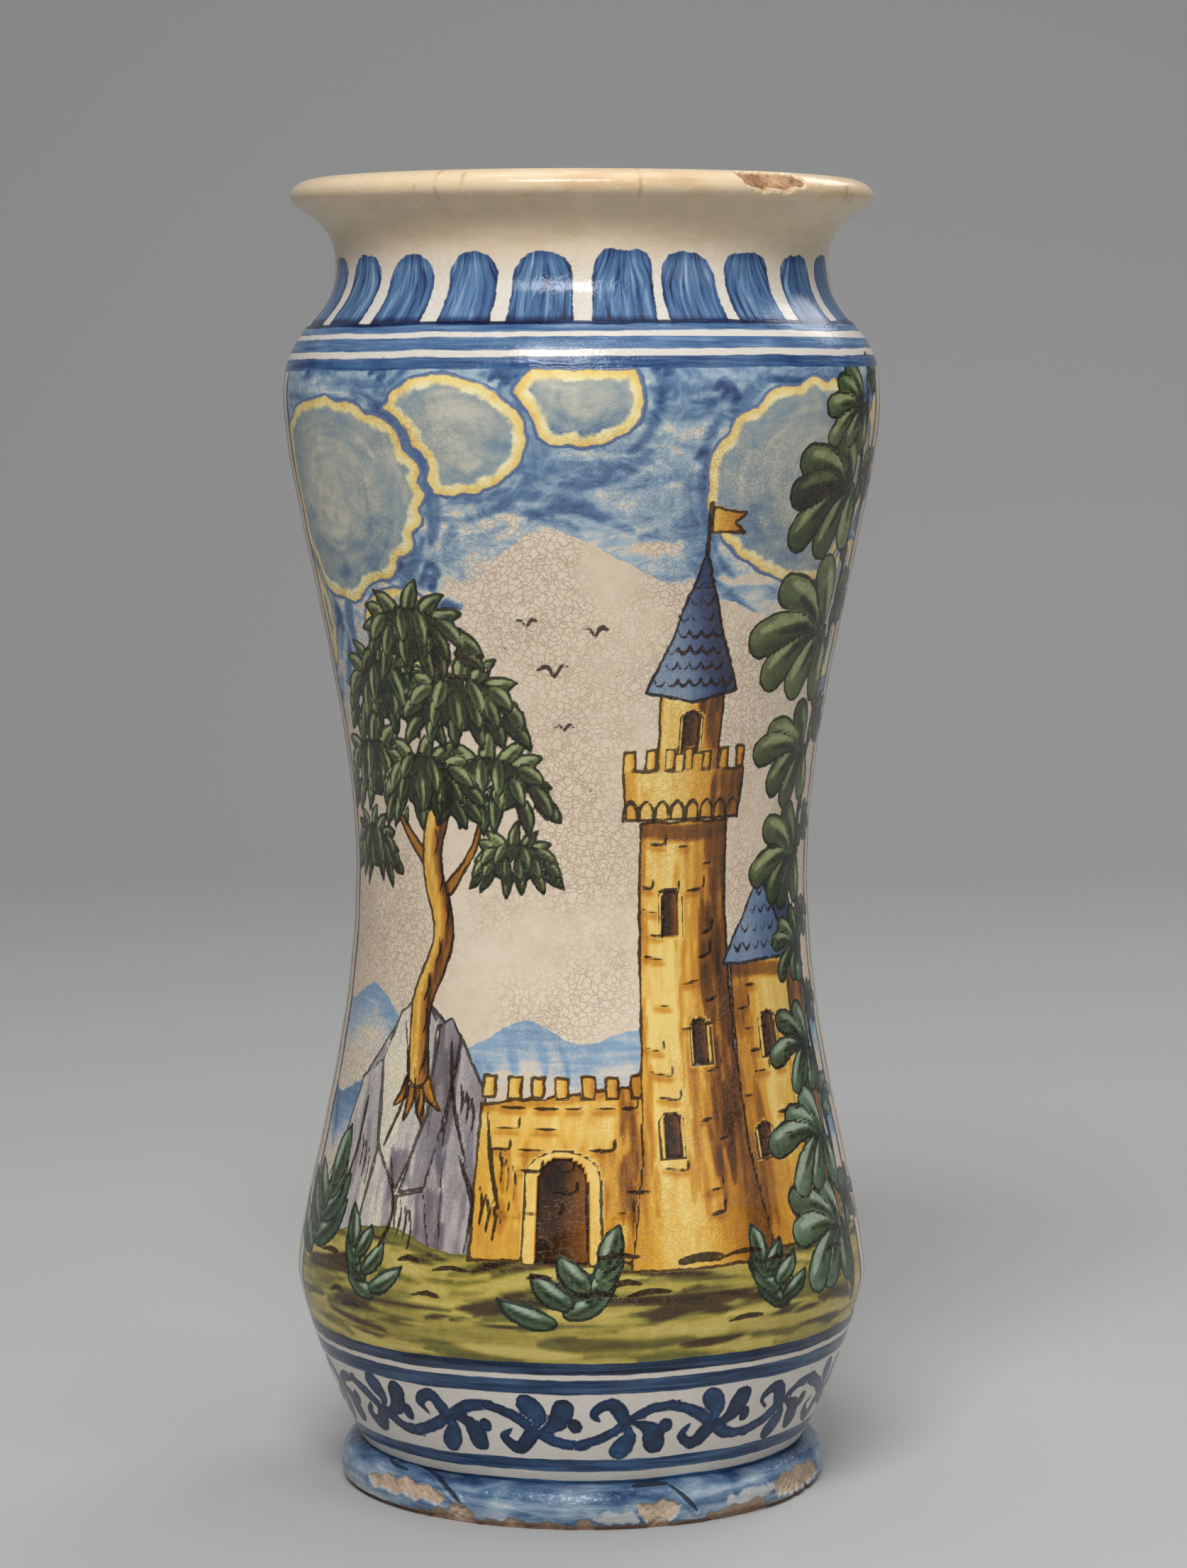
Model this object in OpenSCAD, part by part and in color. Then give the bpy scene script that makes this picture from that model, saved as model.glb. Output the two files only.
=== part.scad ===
// Albarello: a waisted, tin-glazed earthenware drug jar.
// Three clay pieces are joined with slip, and each wears its own coat of glaze.
// Millimetres, +Z up, origin at the centre of the face that the jar stands on.

/* [Foot] */
// Widest diameter of the foot coil
foot_d = 112.8; // [109:0.2:122]
// Height of the foot coil, up to the groove above it
foot_h = 9.8; // [8:0.2:13]
// How far the foot's standing edge is drawn in from its widest part
foot_tuck = 1.3; // [0.6:0.1:2]
// Height of the foot's widest part above the table
foot_swell_h = 4.6; // [3.4:0.2:6]
// Height of the unglazed edge at the bottom of the foot
foot_bare_h = 1.2; // [0.8:0.1:2]
// Diameter in the groove between foot and body
groove_d = 103.2; // [99:0.2:105]

/* [Body] */
// Widest diameter of the lower body
belly_d = 132.4; // [122:0.2:142]
// Height from the groove to the widest part of the lower body
bowl_h = 39.6; // [32:0.2:48]
// Narrowest diameter of the waist
waist_d = 104.8; // [96:0.2:114]
// Height from the lower body's widest part to the waist
lower_h = 94.3; // [80:0.5:110]
// Widest diameter at the shoulder
shoulder_d = 136.8; // [128:0.2:146]
// Height from the waist to the shoulder
upper_h = 107.3; // [90:0.5:125]

/* [Collar] */
// Narrowest diameter of the neck
neck_d = 112.4; // [106:0.2:118]
// Height from the shoulder to the neck
shoulder_h = 29.9; // [26:0.2:36]
// Outside diameter of the rim
rim_d = 133.0; // [127:0.2:140]
// Height from the neck to the rim's outer edge
flare_h = 15.4; // [13:0.2:19]
// How far the top of the lip lies inside the rim's outer edge
lip_in = 6.0; // [4:0.1:8]
// Height from the rim's outer edge to the top of the lip
lip_h = 3.7; // [3:0.1:5]
// Height of the luted seam above the shoulder's widest part
seam_h = 13.2; // [10:0.2:16]

/* [Walls] */
// Thickness of the wall, glaze included
wall = 6.0; // [5:0.2:7]
// Thickness of the floor
floor_t = 9.0; // [7:0.2:12]
// Radius of the corner between floor and wall, inside
corner_r = 9.0; // [6:0.5:12]
// Thickness of the glaze
glaze_t = 0.6; // [0.4:0.05:0.9]
// Thickness of the slip in a luted seam
slip_t = 0.5; // [0.3:0.05:0.8]
// Depth of the V groove in the collar's seam
seam_key = 1.6; // [1:0.1:2]
// Depth of the body's heel behind the groove, where the foot coil sits
heel_step = 1.3; // [0.9:0.1:1.8]
// Gap between the body's heel and the table
heel_lift = 0.8; // [0.5:0.1:1.2]
// Depth of the hollow turned in the underside
base_hollow = 1.2; // [0.8:0.1:2]

/* [Curves] */
// Outward lean of the bowl where it leaves the groove
bowl_lean = 0.58; // [0.45:0.01:0.7]
// Share of the bowl's height that keeps this lean
bowl_start = 0.30; // [0.2:0.01:0.4]
// Share of each stretch's height that holds upright at its lower and upper end
bowl_turn = 0.13; // [0.08:0.01:0.25]
// Upright share above the belly
belly_turn = 0.17; // [0.1:0.01:0.3]
// Upright share below the waist
waist_low = 0.45; // [0.3:0.01:0.55]
// Upright share above the waist
waist_high = 0.35; // [0.25:0.01:0.5]
// Upright share below the shoulder
shoulder_low = 0.20; // [0.1:0.01:0.35]
// Upright share above the shoulder
shoulder_turn = 0.58; // [0.45:0.01:0.7]
// Upright share below the neck
neck_low = 0.45; // [0.35:0.01:0.55]
// Upright share above the neck
neck_high = 0.76; // [0.6:0.01:0.85]
// Upright share under the rim's edge
rim_turn = 0.25; // [0.15:0.01:0.35]

/* [Hidden] */
$fn = 180;

// Straight pieces in one stretch of curve
steps = 14;
// Halvings used to find a height on a curve
halvings = 30;
// Roundness of the short turns at the lip, the foot and the inside corner
round_turn = 0.55;
// Straight shares of the mouth's funnel, at the neck and at the lip
mouth_rise = 0.45;
mouth_top = 0.23;

// Heights of the stations, from the table up
groove_z = foot_h;
belly_z = groove_z + bowl_h;
waist_z = belly_z + lower_h;
shoulder_z = waist_z + upper_h;
neck_z = shoulder_z + shoulder_h;
rim_z = neck_z + flare_h;
lip_z = rim_z + lip_h;
floor_z = heel_lift + base_hollow + floor_t;

// Radii of the stations
foot_r = foot_d / 2;
base_r = foot_r - foot_tuck;
groove_r = groove_d / 2;
heel_r = groove_r - heel_step;
coil_r = heel_r + slip_t;
belly_r = belly_d / 2;
waist_r = waist_d / 2;
shoulder_r = shoulder_d / 2;
neck_r = neck_d / 2;
rim_r = rim_d / 2;
lip_r = rim_r - lip_in;

// Curves: each is four control points, [radius, height], drawn upwards
foot_side = [[base_r, 0],
             [base_r + foot_tuck * round_turn, foot_swell_h * (1 - round_turn) / 2],
             [foot_r, foot_swell_h * (1 - round_turn)],
             [foot_r, foot_swell_h]];
foot_top = [[foot_r, foot_swell_h],
            [foot_r, foot_swell_h + (foot_h - foot_swell_h) * round_turn],
            [groove_r + (foot_r - groove_r) * round_turn, groove_z],
            [groove_r, groove_z]];
bowl = [[groove_r, groove_z],
        [groove_r + bowl_lean * bowl_start * bowl_h, groove_z + bowl_start * bowl_h],
        [belly_r, belly_z - bowl_turn * bowl_h],
        [belly_r, belly_z]];
lower = upright(belly_r, belly_z, belly_turn, waist_r, waist_z, waist_low);
upper = upright(waist_r, waist_z, waist_high, shoulder_r, shoulder_z, shoulder_low);
shoulder = upright(shoulder_r, shoulder_z, shoulder_turn, neck_r, neck_z, neck_low);
flare = upright(neck_r, neck_z, neck_high, rim_r, rim_z, rim_turn);
lip = [[rim_r, rim_z],
       [rim_r, rim_z + lip_h * round_turn],
       [lip_r + lip_in * round_turn, lip_z],
       [lip_r, lip_z]];
mouth_r = neck_r - wall;
mouth_h = lip_z - glaze_t - neck_z;
mouth = [[mouth_r, neck_z],
         [mouth_r, neck_z + mouth_rise * mouth_h],
         [lip_r - mouth_top * (lip_r - mouth_r), lip_z - glaze_t],
         [lip_r, lip_z - glaze_t]];

// Where the seam, the foot's bare edge and the inside corner lie on their curves
seam_at = share_at(shoulder, 0, shoulder_z + seam_h);
bare_at = share_at(foot_side, 0, foot_bare_h);
corner_at = share_at(bowl, wall, floor_z + corner_r);
corner_end = inset(bowl, corner_at, wall);
corner = [[corner_end[0] - corner_r, floor_z],
          [corner_end[0] - corner_r * (1 - round_turn), floor_z],
          corner_end - heading(bowl, corner_at) * (corner_end[1] - floor_z) * round_turn,
          corner_end];

// A curve that stands upright at both ends
function upright(r0, z0, hold0, r1, z1, hold1) =
    [[r0, z0], [r0, z0 + hold0 * (z1 - z0)], [r1, z1 - hold1 * (z1 - z0)], [r1, z1]];

// The point at a share t of a curve
function on_curve(c, t) =
    pow(1 - t, 3) * c[0] + 3 * t * pow(1 - t, 2) * c[1] + 3 * t * t * (1 - t) * c[2] + pow(t, 3) * c[3];

// The curve's direction there, one unit long
function heading(c, t) =
    let (d = pow(1 - t, 2) * (c[1] - c[0]) + 2 * t * (1 - t) * (c[2] - c[1]) + t * t * (c[3] - c[2]))
    d / norm(d);

// The point a depth to the left of the curve: into the wall on the outside, into the jar on the inside
function inset(c, t, depth) =
    let (h = heading(c, t))
    on_curve(c, t) + depth * [-h[1], h[0]];

// Points along a curve at one depth, its first point left out
function along(c, depth, from = 0, to = 1) =
    [for (i = [1:steps]) inset(c, from + (to - from) * i / steps, depth)];

// The share of a curve, at one depth, that reaches a height
function share_at(c, depth, z, low = 0, high = 1, left = halvings) =
    let (mid = (low + high) / 2)
    left == 0 ? mid
    : inset(c, mid, depth)[1] < z ? share_at(c, depth, z, mid, high, left - 1)
    : share_at(c, depth, z, low, mid, left - 1);

function reverse(list) = [for (i = [len(list) - 1:-1:0]) list[i]];
function without_last(list) = [for (i = [0:len(list) - 2]) list[i]];

// The outside of the body and of the collar, at a depth below the glazed surface
function body_outside(depth) =
    concat([inset(bowl, 0, depth)], along(bowl, depth), along(lower, depth), along(upper, depth),
           along(shoulder, depth, 0, seam_at));
function collar_outside(depth) =
    concat(along(shoulder, depth, seam_at, 1), along(flare, depth), along(lip, depth));
function foot_outside(depth) =
    concat([inset(foot_side, bare_at, depth)], along(foot_side, depth, bare_at, 1), along(foot_top, depth));

// The inside of the body and of the collar, at a height above the bare clay
function body_inside(coat) =
    concat([[0, floor_z + coat], inset(corner, 0, coat)], along(corner, coat),
           along(bowl, wall + coat, corner_at, 1), along(lower, wall + coat), along(upper, wall + coat),
           along(shoulder, wall + coat, 0, seam_at));
function collar_inside(coat) =
    concat(along(shoulder, wall + coat, seam_at, 1), along(mouth, coat));

// The seam between body and collar: square to the wall, with a V key in its middle
seam_out = inset(shoulder, seam_at, glaze_t);
seam_in = inset(shoulder, seam_at, wall);
seam_mid = (seam_out + seam_in) / 2 - seam_key * heading(shoulder, seam_at);
function towards(a, b) = a + slip_t * (b - a) / norm(b - a);
lute_out = towards(seam_out, collar_outside(glaze_t)[0]);
lute_in = towards(seam_in, collar_inside(0)[0]);
lute_mid = seam_mid + slip_t * heading(shoulder, seam_at);

module turned(outline) {
    rotate_extrude() polygon(outline);
}

// The waisted wall with its floor, thrown in one piece
module thrown_body() {
    color("#d9a878")
    turned(concat([[0, heel_lift + base_hollow], [heel_r, heel_lift], [heel_r, groove_z - glaze_t]],
                  body_outside(glaze_t), [seam_mid], reverse(body_inside(0))));
}

// The shoulder slope, neck and flared rim
module thrown_collar() {
    color("#d9a878")
    turned(concat([lute_out], collar_outside(glaze_t), reverse(without_last(collar_inside(0))),
                  [lute_in, lute_mid]));
}

// The coil of clay wrapped round the body's heel
module foot_coil() {
    color("#cf9c6c")
    turned(concat([[coil_r, 0], [inset(foot_side, 0, glaze_t)[0], 0]],
                  along(foot_side, glaze_t), along(foot_top, glaze_t), [[coil_r, groove_z - glaze_t]]));
}

// Slip that lutes the collar on the body
module collar_slip_seam() {
    color("#e2b98f")
    turned([seam_out, lute_out, lute_mid, lute_in, seam_in, seam_mid]);
}

// Slip that lutes the foot coil on the heel
module foot_slip_seam() {
    color("#e2b98f")
    turned([[heel_r, heel_lift], [coil_r, heel_lift], [coil_r, groove_z - glaze_t], [heel_r, groove_z - glaze_t]]);
}

// Glaze from the groove, where it pools, up to the seam
module body_glaze() {
    color("#d8c6b0")
    turned(concat([[heel_r, groove_z - glaze_t], [groove_r, groove_z - glaze_t]],
                  body_outside(0), reverse(body_outside(glaze_t))));
}

// Glaze over the shoulder, neck and rim, to the top of the lip
module collar_glaze() {
    color("#e4d2b0")
    turned(concat([inset(shoulder, seam_at, 0)], collar_outside(0), reverse(collar_outside(glaze_t)), [seam_out]));
}

// Glaze round the foot, wiped off along its standing edge
module foot_glaze() {
    color("#5f7fae")
    turned(concat(foot_outside(0), reverse(foot_outside(glaze_t))));
}

// Glaze all over the inside, to the top of the lip
module lining_glaze() {
    color("#d6c3a2")
    turned(concat(body_inside(0), collar_inside(0), reverse(concat(body_inside(glaze_t), collar_inside(glaze_t)))));
}

thrown_body();
thrown_collar();
foot_coil();
collar_slip_seam();
foot_slip_seam();
body_glaze();
collar_glaze();
foot_glaze();
lining_glaze();
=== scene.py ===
"""Looks of a waisted, tin-glazed drug jar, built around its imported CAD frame.

Every coat of glaze is turned again from the frame's own profile, with a hand-thrown
unevenness, chips that bare the clay, and painting held as fields on its vertices.
Sizes are in millimetres until a mesh is made. Azimuth 0 is the painted front, which
faces -Y, and it grows towards +X.
"""

from __future__ import annotations

import logging
from dataclasses import dataclass
from enum import Enum
from math import copysign, cos, pi, radians, sin, sqrt, tau
from typing import Any, Callable, Sequence

import bmesh
import bpy
import numpy as np
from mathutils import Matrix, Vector

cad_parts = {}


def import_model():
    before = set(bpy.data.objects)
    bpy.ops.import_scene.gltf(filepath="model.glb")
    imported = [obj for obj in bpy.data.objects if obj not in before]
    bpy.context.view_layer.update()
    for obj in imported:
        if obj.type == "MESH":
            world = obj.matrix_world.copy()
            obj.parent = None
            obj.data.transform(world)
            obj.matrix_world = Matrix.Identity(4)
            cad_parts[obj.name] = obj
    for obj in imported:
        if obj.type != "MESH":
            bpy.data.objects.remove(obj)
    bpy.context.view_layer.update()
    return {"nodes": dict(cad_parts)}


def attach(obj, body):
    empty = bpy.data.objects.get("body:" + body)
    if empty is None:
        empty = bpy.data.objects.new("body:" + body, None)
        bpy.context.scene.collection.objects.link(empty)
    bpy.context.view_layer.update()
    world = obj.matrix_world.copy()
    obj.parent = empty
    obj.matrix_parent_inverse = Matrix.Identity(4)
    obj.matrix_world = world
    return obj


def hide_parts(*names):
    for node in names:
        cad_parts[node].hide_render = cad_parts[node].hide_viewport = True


LOG = logging.getLogger("albarello")
MM = 0.001
BODY = "root"
WRAP_R = 60.0
LAP = tau * WRAP_R
NOWHERE = 1e9
TINY = 1e-9
PER_SPAN = 6

Array = np.ndarray
Pair = tuple[float, float]
Line = Sequence[Pair]
Place = tuple[float, float, float]
Colour = tuple[float, float, float, float]
Stops = Sequence[tuple[float, Colour]]
ToneRule = Callable[[Array, Array], Array]


def paint(red: int, green: int, blue: int) -> Colour:
    """Turns a screen colour of 0 to 255 into a linear one.

    Args:
        red: red share of the screen colour.
        green: green share.
        blue: blue share.

    Returns:
        The linear colour with full alpha.
    """
    shares = [c / 255 for c in (red, green, blue)]
    linear = [c / 12.92 if c <= 0.04045 else ((c + 0.055) / 1.055) ** 2.4 for c in shares]
    return (linear[0], linear[1], linear[2], 1.0)


def shades(*screen: tuple[int, int, int], at: Sequence[float] = ()) -> Stops:
    """Spreads screen colours over a ramp, from thin pigment to thick.

    Args:
        screen: the colours, in shares of 0 to 255.
        at: their places from 0 to 1, if they aren't even.

    Returns:
        The ramp's stops.
    """
    places = at or np.linspace(0.0, 1.0, len(screen)).tolist()
    return [(place, paint(*colour)) for place, colour in zip(places, screen)]


def smoothstep(low: float, high: float, value: Array) -> Array:
    """Eases a value from 0 at low to 1 at high."""
    share = np.clip((value - low) / (high - low), 0.0, 1.0)
    return share * share * (3.0 - 2.0 * share)


def linked(name: str, data: bpy.types.ID) -> bpy.types.Object:
    """Makes an object and puts it in the scene.

    Args:
        name: the object's name.
        data: its mesh, light or camera.

    Returns:
        The object.
    """
    made = bpy.data.objects.new(name, data)
    bpy.context.scene.collection.objects.link(made)
    return made


@dataclass(frozen=True)
class Curve:
    """One cubic stretch of the profile, as four points of radius and height."""

    start: Pair
    leave: Pair
    arrive: Pair
    end: Pair

    def points(self, depth: float = 0.0, low: float = 0.0, high: float = 1.0, count: int = 96) -> Array:
        """Samples the curve at one depth to its left.

        Args:
            depth: distance to its left.
            low: share to start at.
            high: share to stop at.
            count: straight pieces.

        Returns:
            Rows of radius and height.
        """
        t = np.linspace(low, high, count + 1)[:, None]
        a, b, c, d = (np.array(p) for p in (self.start, self.leave, self.arrive, self.end))
        at = (1 - t) ** 3 * a + 3 * t * (1 - t) ** 2 * b + 3 * t * t * (1 - t) * c + t**3 * d
        way = (1 - t) ** 2 * (b - a) + 2 * t * (1 - t) * (c - b) + t * t * (d - c)
        way /= np.linalg.norm(way, axis=1)[:, None]
        return at + depth * np.stack([-way[:, 1], way[:, 0]], axis=1)

    def share_at(self, height: float, depth: float = 0.0) -> float:
        """Finds the share of the curve that reaches a height at one depth."""
        line = self.points(depth, count=2000)
        return float(np.interp(height, line[:, 1], np.linspace(0.0, 1.0, len(line))))


def upright(low: Pair, hold_low: float, high: Pair, hold_high: float) -> Curve:
    """Makes a curve that stands upright at both of its ends."""
    rise = high[1] - low[1]
    return Curve(low, (low[0], low[1] + hold_low * rise), (high[0], high[1] - hold_high * rise), high)


@dataclass(frozen=True)
class JarProfile:
    """The turned profile, with the frame's own sizes."""

    foot_d: float = 112.8
    foot_h: float = 9.8
    foot_tuck: float = 1.3
    foot_swell_h: float = 4.6
    foot_bare_h: float = 1.2
    groove_d: float = 103.2
    belly_d: float = 132.4
    bowl_h: float = 39.6
    waist_d: float = 104.8
    lower_h: float = 94.3
    shoulder_d: float = 136.8
    upper_h: float = 107.3
    neck_d: float = 112.4
    shoulder_h: float = 29.9
    rim_d: float = 133.0
    flare_h: float = 15.4
    lip_in: float = 6.0
    lip_h: float = 3.7
    seam_h: float = 13.2
    wall: float = 6.0
    floor_t: float = 9.0
    corner_r: float = 9.0
    glaze_t: float = 0.6
    slip_t: float = 0.5
    heel_step: float = 1.3
    heel_lift: float = 0.8
    base_hollow: float = 1.2
    bowl_lean: float = 0.58
    round_turn: float = 0.55

    @property
    def belly_z(self) -> float:
        """Height of the lower body's widest part."""
        return self.foot_h + self.bowl_h

    @property
    def waist_z(self) -> float:
        """Height of the waist."""
        return self.belly_z + self.lower_h

    @property
    def shoulder_z(self) -> float:
        """Height of the shoulder's widest part."""
        return self.waist_z + self.upper_h

    @property
    def neck_z(self) -> float:
        """Height of the neck."""
        return self.shoulder_z + self.shoulder_h

    @property
    def rim_z(self) -> float:
        """Height of the rim's outer edge."""
        return self.neck_z + self.flare_h

    @property
    def lip_z(self) -> float:
        """Height of the top of the lip."""
        return self.rim_z + self.lip_h

    @property
    def floor_z(self) -> float:
        """Height of the clay floor inside."""
        return self.heel_lift + self.base_hollow + self.floor_t

    @property
    def coil_r(self) -> float:
        """Inner radius of the foot coil."""
        return self.groove_d / 2 - self.heel_step + self.slip_t

    @property
    def foot_side(self) -> Curve:
        """Foot from the table to its widest part.

        Returns:
            The curve of the glaze.
        """
        wide, rise = self.foot_d / 2, self.foot_swell_h * (1 - self.round_turn)
        base = wide - self.foot_tuck
        return Curve((base, 0.0), (base + self.foot_tuck * self.round_turn, rise / 2),
                     (wide, rise), (wide, self.foot_swell_h))

    @property
    def foot_top(self) -> Curve:
        """Foot from its widest part into the groove.

        Returns:
            The curve of the glaze.
        """
        wide, groove = self.foot_d / 2, self.groove_d / 2
        return Curve((wide, self.foot_swell_h),
                     (wide, self.foot_swell_h + (self.foot_h - self.foot_swell_h) * self.round_turn),
                     (groove + (wide - groove) * self.round_turn, self.foot_h), (groove, self.foot_h))

    @property
    def bowl(self) -> Curve:
        """Body from the groove to the belly.

        Returns:
            The curve of the glaze.
        """
        groove, belly, held = self.groove_d / 2, self.belly_d / 2, 0.3 * self.bowl_h
        return Curve((groove, self.foot_h), (groove + self.bowl_lean * held, self.foot_h + held),
                     (belly, self.belly_z - 0.13 * self.bowl_h), (belly, self.belly_z))

    @property
    def lower(self) -> Curve:
        """Body from the belly to the waist."""
        return upright((self.belly_d / 2, self.belly_z), 0.17, (self.waist_d / 2, self.waist_z), 0.45)

    @property
    def upper(self) -> Curve:
        """Body from the waist to the shoulder."""
        return upright((self.waist_d / 2, self.waist_z), 0.35, (self.shoulder_d / 2, self.shoulder_z), 0.2)

    @property
    def shoulder(self) -> Curve:
        """Shoulder up to the neck."""
        return upright((self.shoulder_d / 2, self.shoulder_z), 0.58, (self.neck_d / 2, self.neck_z), 0.45)

    @property
    def flare(self) -> Curve:
        """Neck up to the rim's edge."""
        return upright((self.neck_d / 2, self.neck_z), 0.76, (self.rim_d / 2, self.rim_z), 0.25)

    @property
    def lip(self) -> Curve:
        """Rim's edge over to the top of the lip.

        Returns:
            The curve of the glaze.
        """
        rim, top = self.rim_d / 2, self.rim_d / 2 - self.lip_in
        return Curve((rim, self.rim_z), (rim, self.rim_z + self.lip_h * self.round_turn),
                     (top + self.lip_in * self.round_turn, self.lip_z), (top, self.lip_z))

    @property
    def mouth(self) -> Curve:
        """Inside of the neck up to the top of the lip, on the clay.

        Returns:
            The curve of the clay.
        """
        low = self.neck_d / 2 - self.wall
        top = self.rim_d / 2 - self.lip_in
        rise = self.lip_z - self.glaze_t - self.neck_z
        return Curve((low, self.neck_z), (low, self.neck_z + 0.45 * rise),
                     (top - 0.23 * (top - low), self.lip_z - self.glaze_t), (top, self.lip_z - self.glaze_t))

    @property
    def seam_at(self) -> float:
        """Share of the shoulder curve at the collar's seam."""
        return self.shoulder.share_at(self.shoulder_z + self.seam_h)

    def body_line(self, depth: float) -> Array:
        """Outside of the body from the groove to the seam, at one depth."""
        return np.vstack([self.bowl.points(depth), self.lower.points(depth)[1:], self.upper.points(depth)[1:],
                          self.shoulder.points(depth, 0.0, self.seam_at)[1:]])

    def collar_line(self, depth: float) -> Array:
        """Outside of the collar from the seam to the top of the lip, at one depth."""
        return np.vstack([self.shoulder.points(depth, self.seam_at), self.flare.points(depth)[1:],
                          self.lip.points(depth)[1:]])

    def foot_line(self, depth: float, from_height: float) -> Array:
        """Outside of the foot from a height up into the groove, at one depth."""
        return np.vstack([self.foot_side.points(depth, self.foot_side.share_at(from_height)),
                          self.foot_top.points(depth)[1:]])

    def inside_line(self, coat: float) -> Array:
        """Inside from the middle of the floor to the top of the lip, a coat above the clay.

        Args:
            coat: thickness of the coat.

        Returns:
            Rows of radius and height.
        """
        deep = self.wall + coat
        turn = self.bowl.share_at(self.floor_z + self.corner_r, self.wall)
        end = self.bowl.points(self.wall, turn)
        edge, way = end[0], end[1] - end[0]
        way = way / np.linalg.norm(way) * (edge[1] - self.floor_z) * self.round_turn
        corner = Curve((edge[0] - self.corner_r, self.floor_z),
                       (edge[0] - self.corner_r * (1 - self.round_turn), self.floor_z),
                       tuple(edge - way), tuple(edge))
        return np.vstack([[[0.0, self.floor_z + coat]], corner.points(coat), self.bowl.points(deep, turn)[1:],
                          self.lower.points(deep)[1:], self.upper.points(deep)[1:], self.shoulder.points(deep)[1:],
                          self.mouth.points(coat)[1:]])


def travelled(line: Array) -> Array:
    """Gives the distance along a line at each of its points."""
    return np.concatenate([[0.0], np.cumsum(np.linalg.norm(np.diff(line, axis=0), axis=1))])


def respaced(line: Array, spacing: float) -> Array:
    """Spreads a line's points evenly along it.

    Args:
        line: rows of radius and height.
        spacing: wanted distance between points.

    Returns:
        Rows of radius and height, both ends kept.
    """
    run = travelled(line)
    at = np.linspace(0.0, run[-1], max(2, round(run[-1] / spacing)) + 1)
    return np.stack([np.interp(at, run, line[:, 0]), np.interp(at, run, line[:, 1])], axis=1)


@dataclass(frozen=True)
class Sector:
    """Part of a turn: how far it goes, in degrees, and in how many steps."""

    sweep: float
    steps: int


FRONT_TURN = (Sector(160.0, 76), Sector(38.0, 46), Sector(124.0, 250), Sector(38.0, 46))
FRONT_START = 100.0


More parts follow.
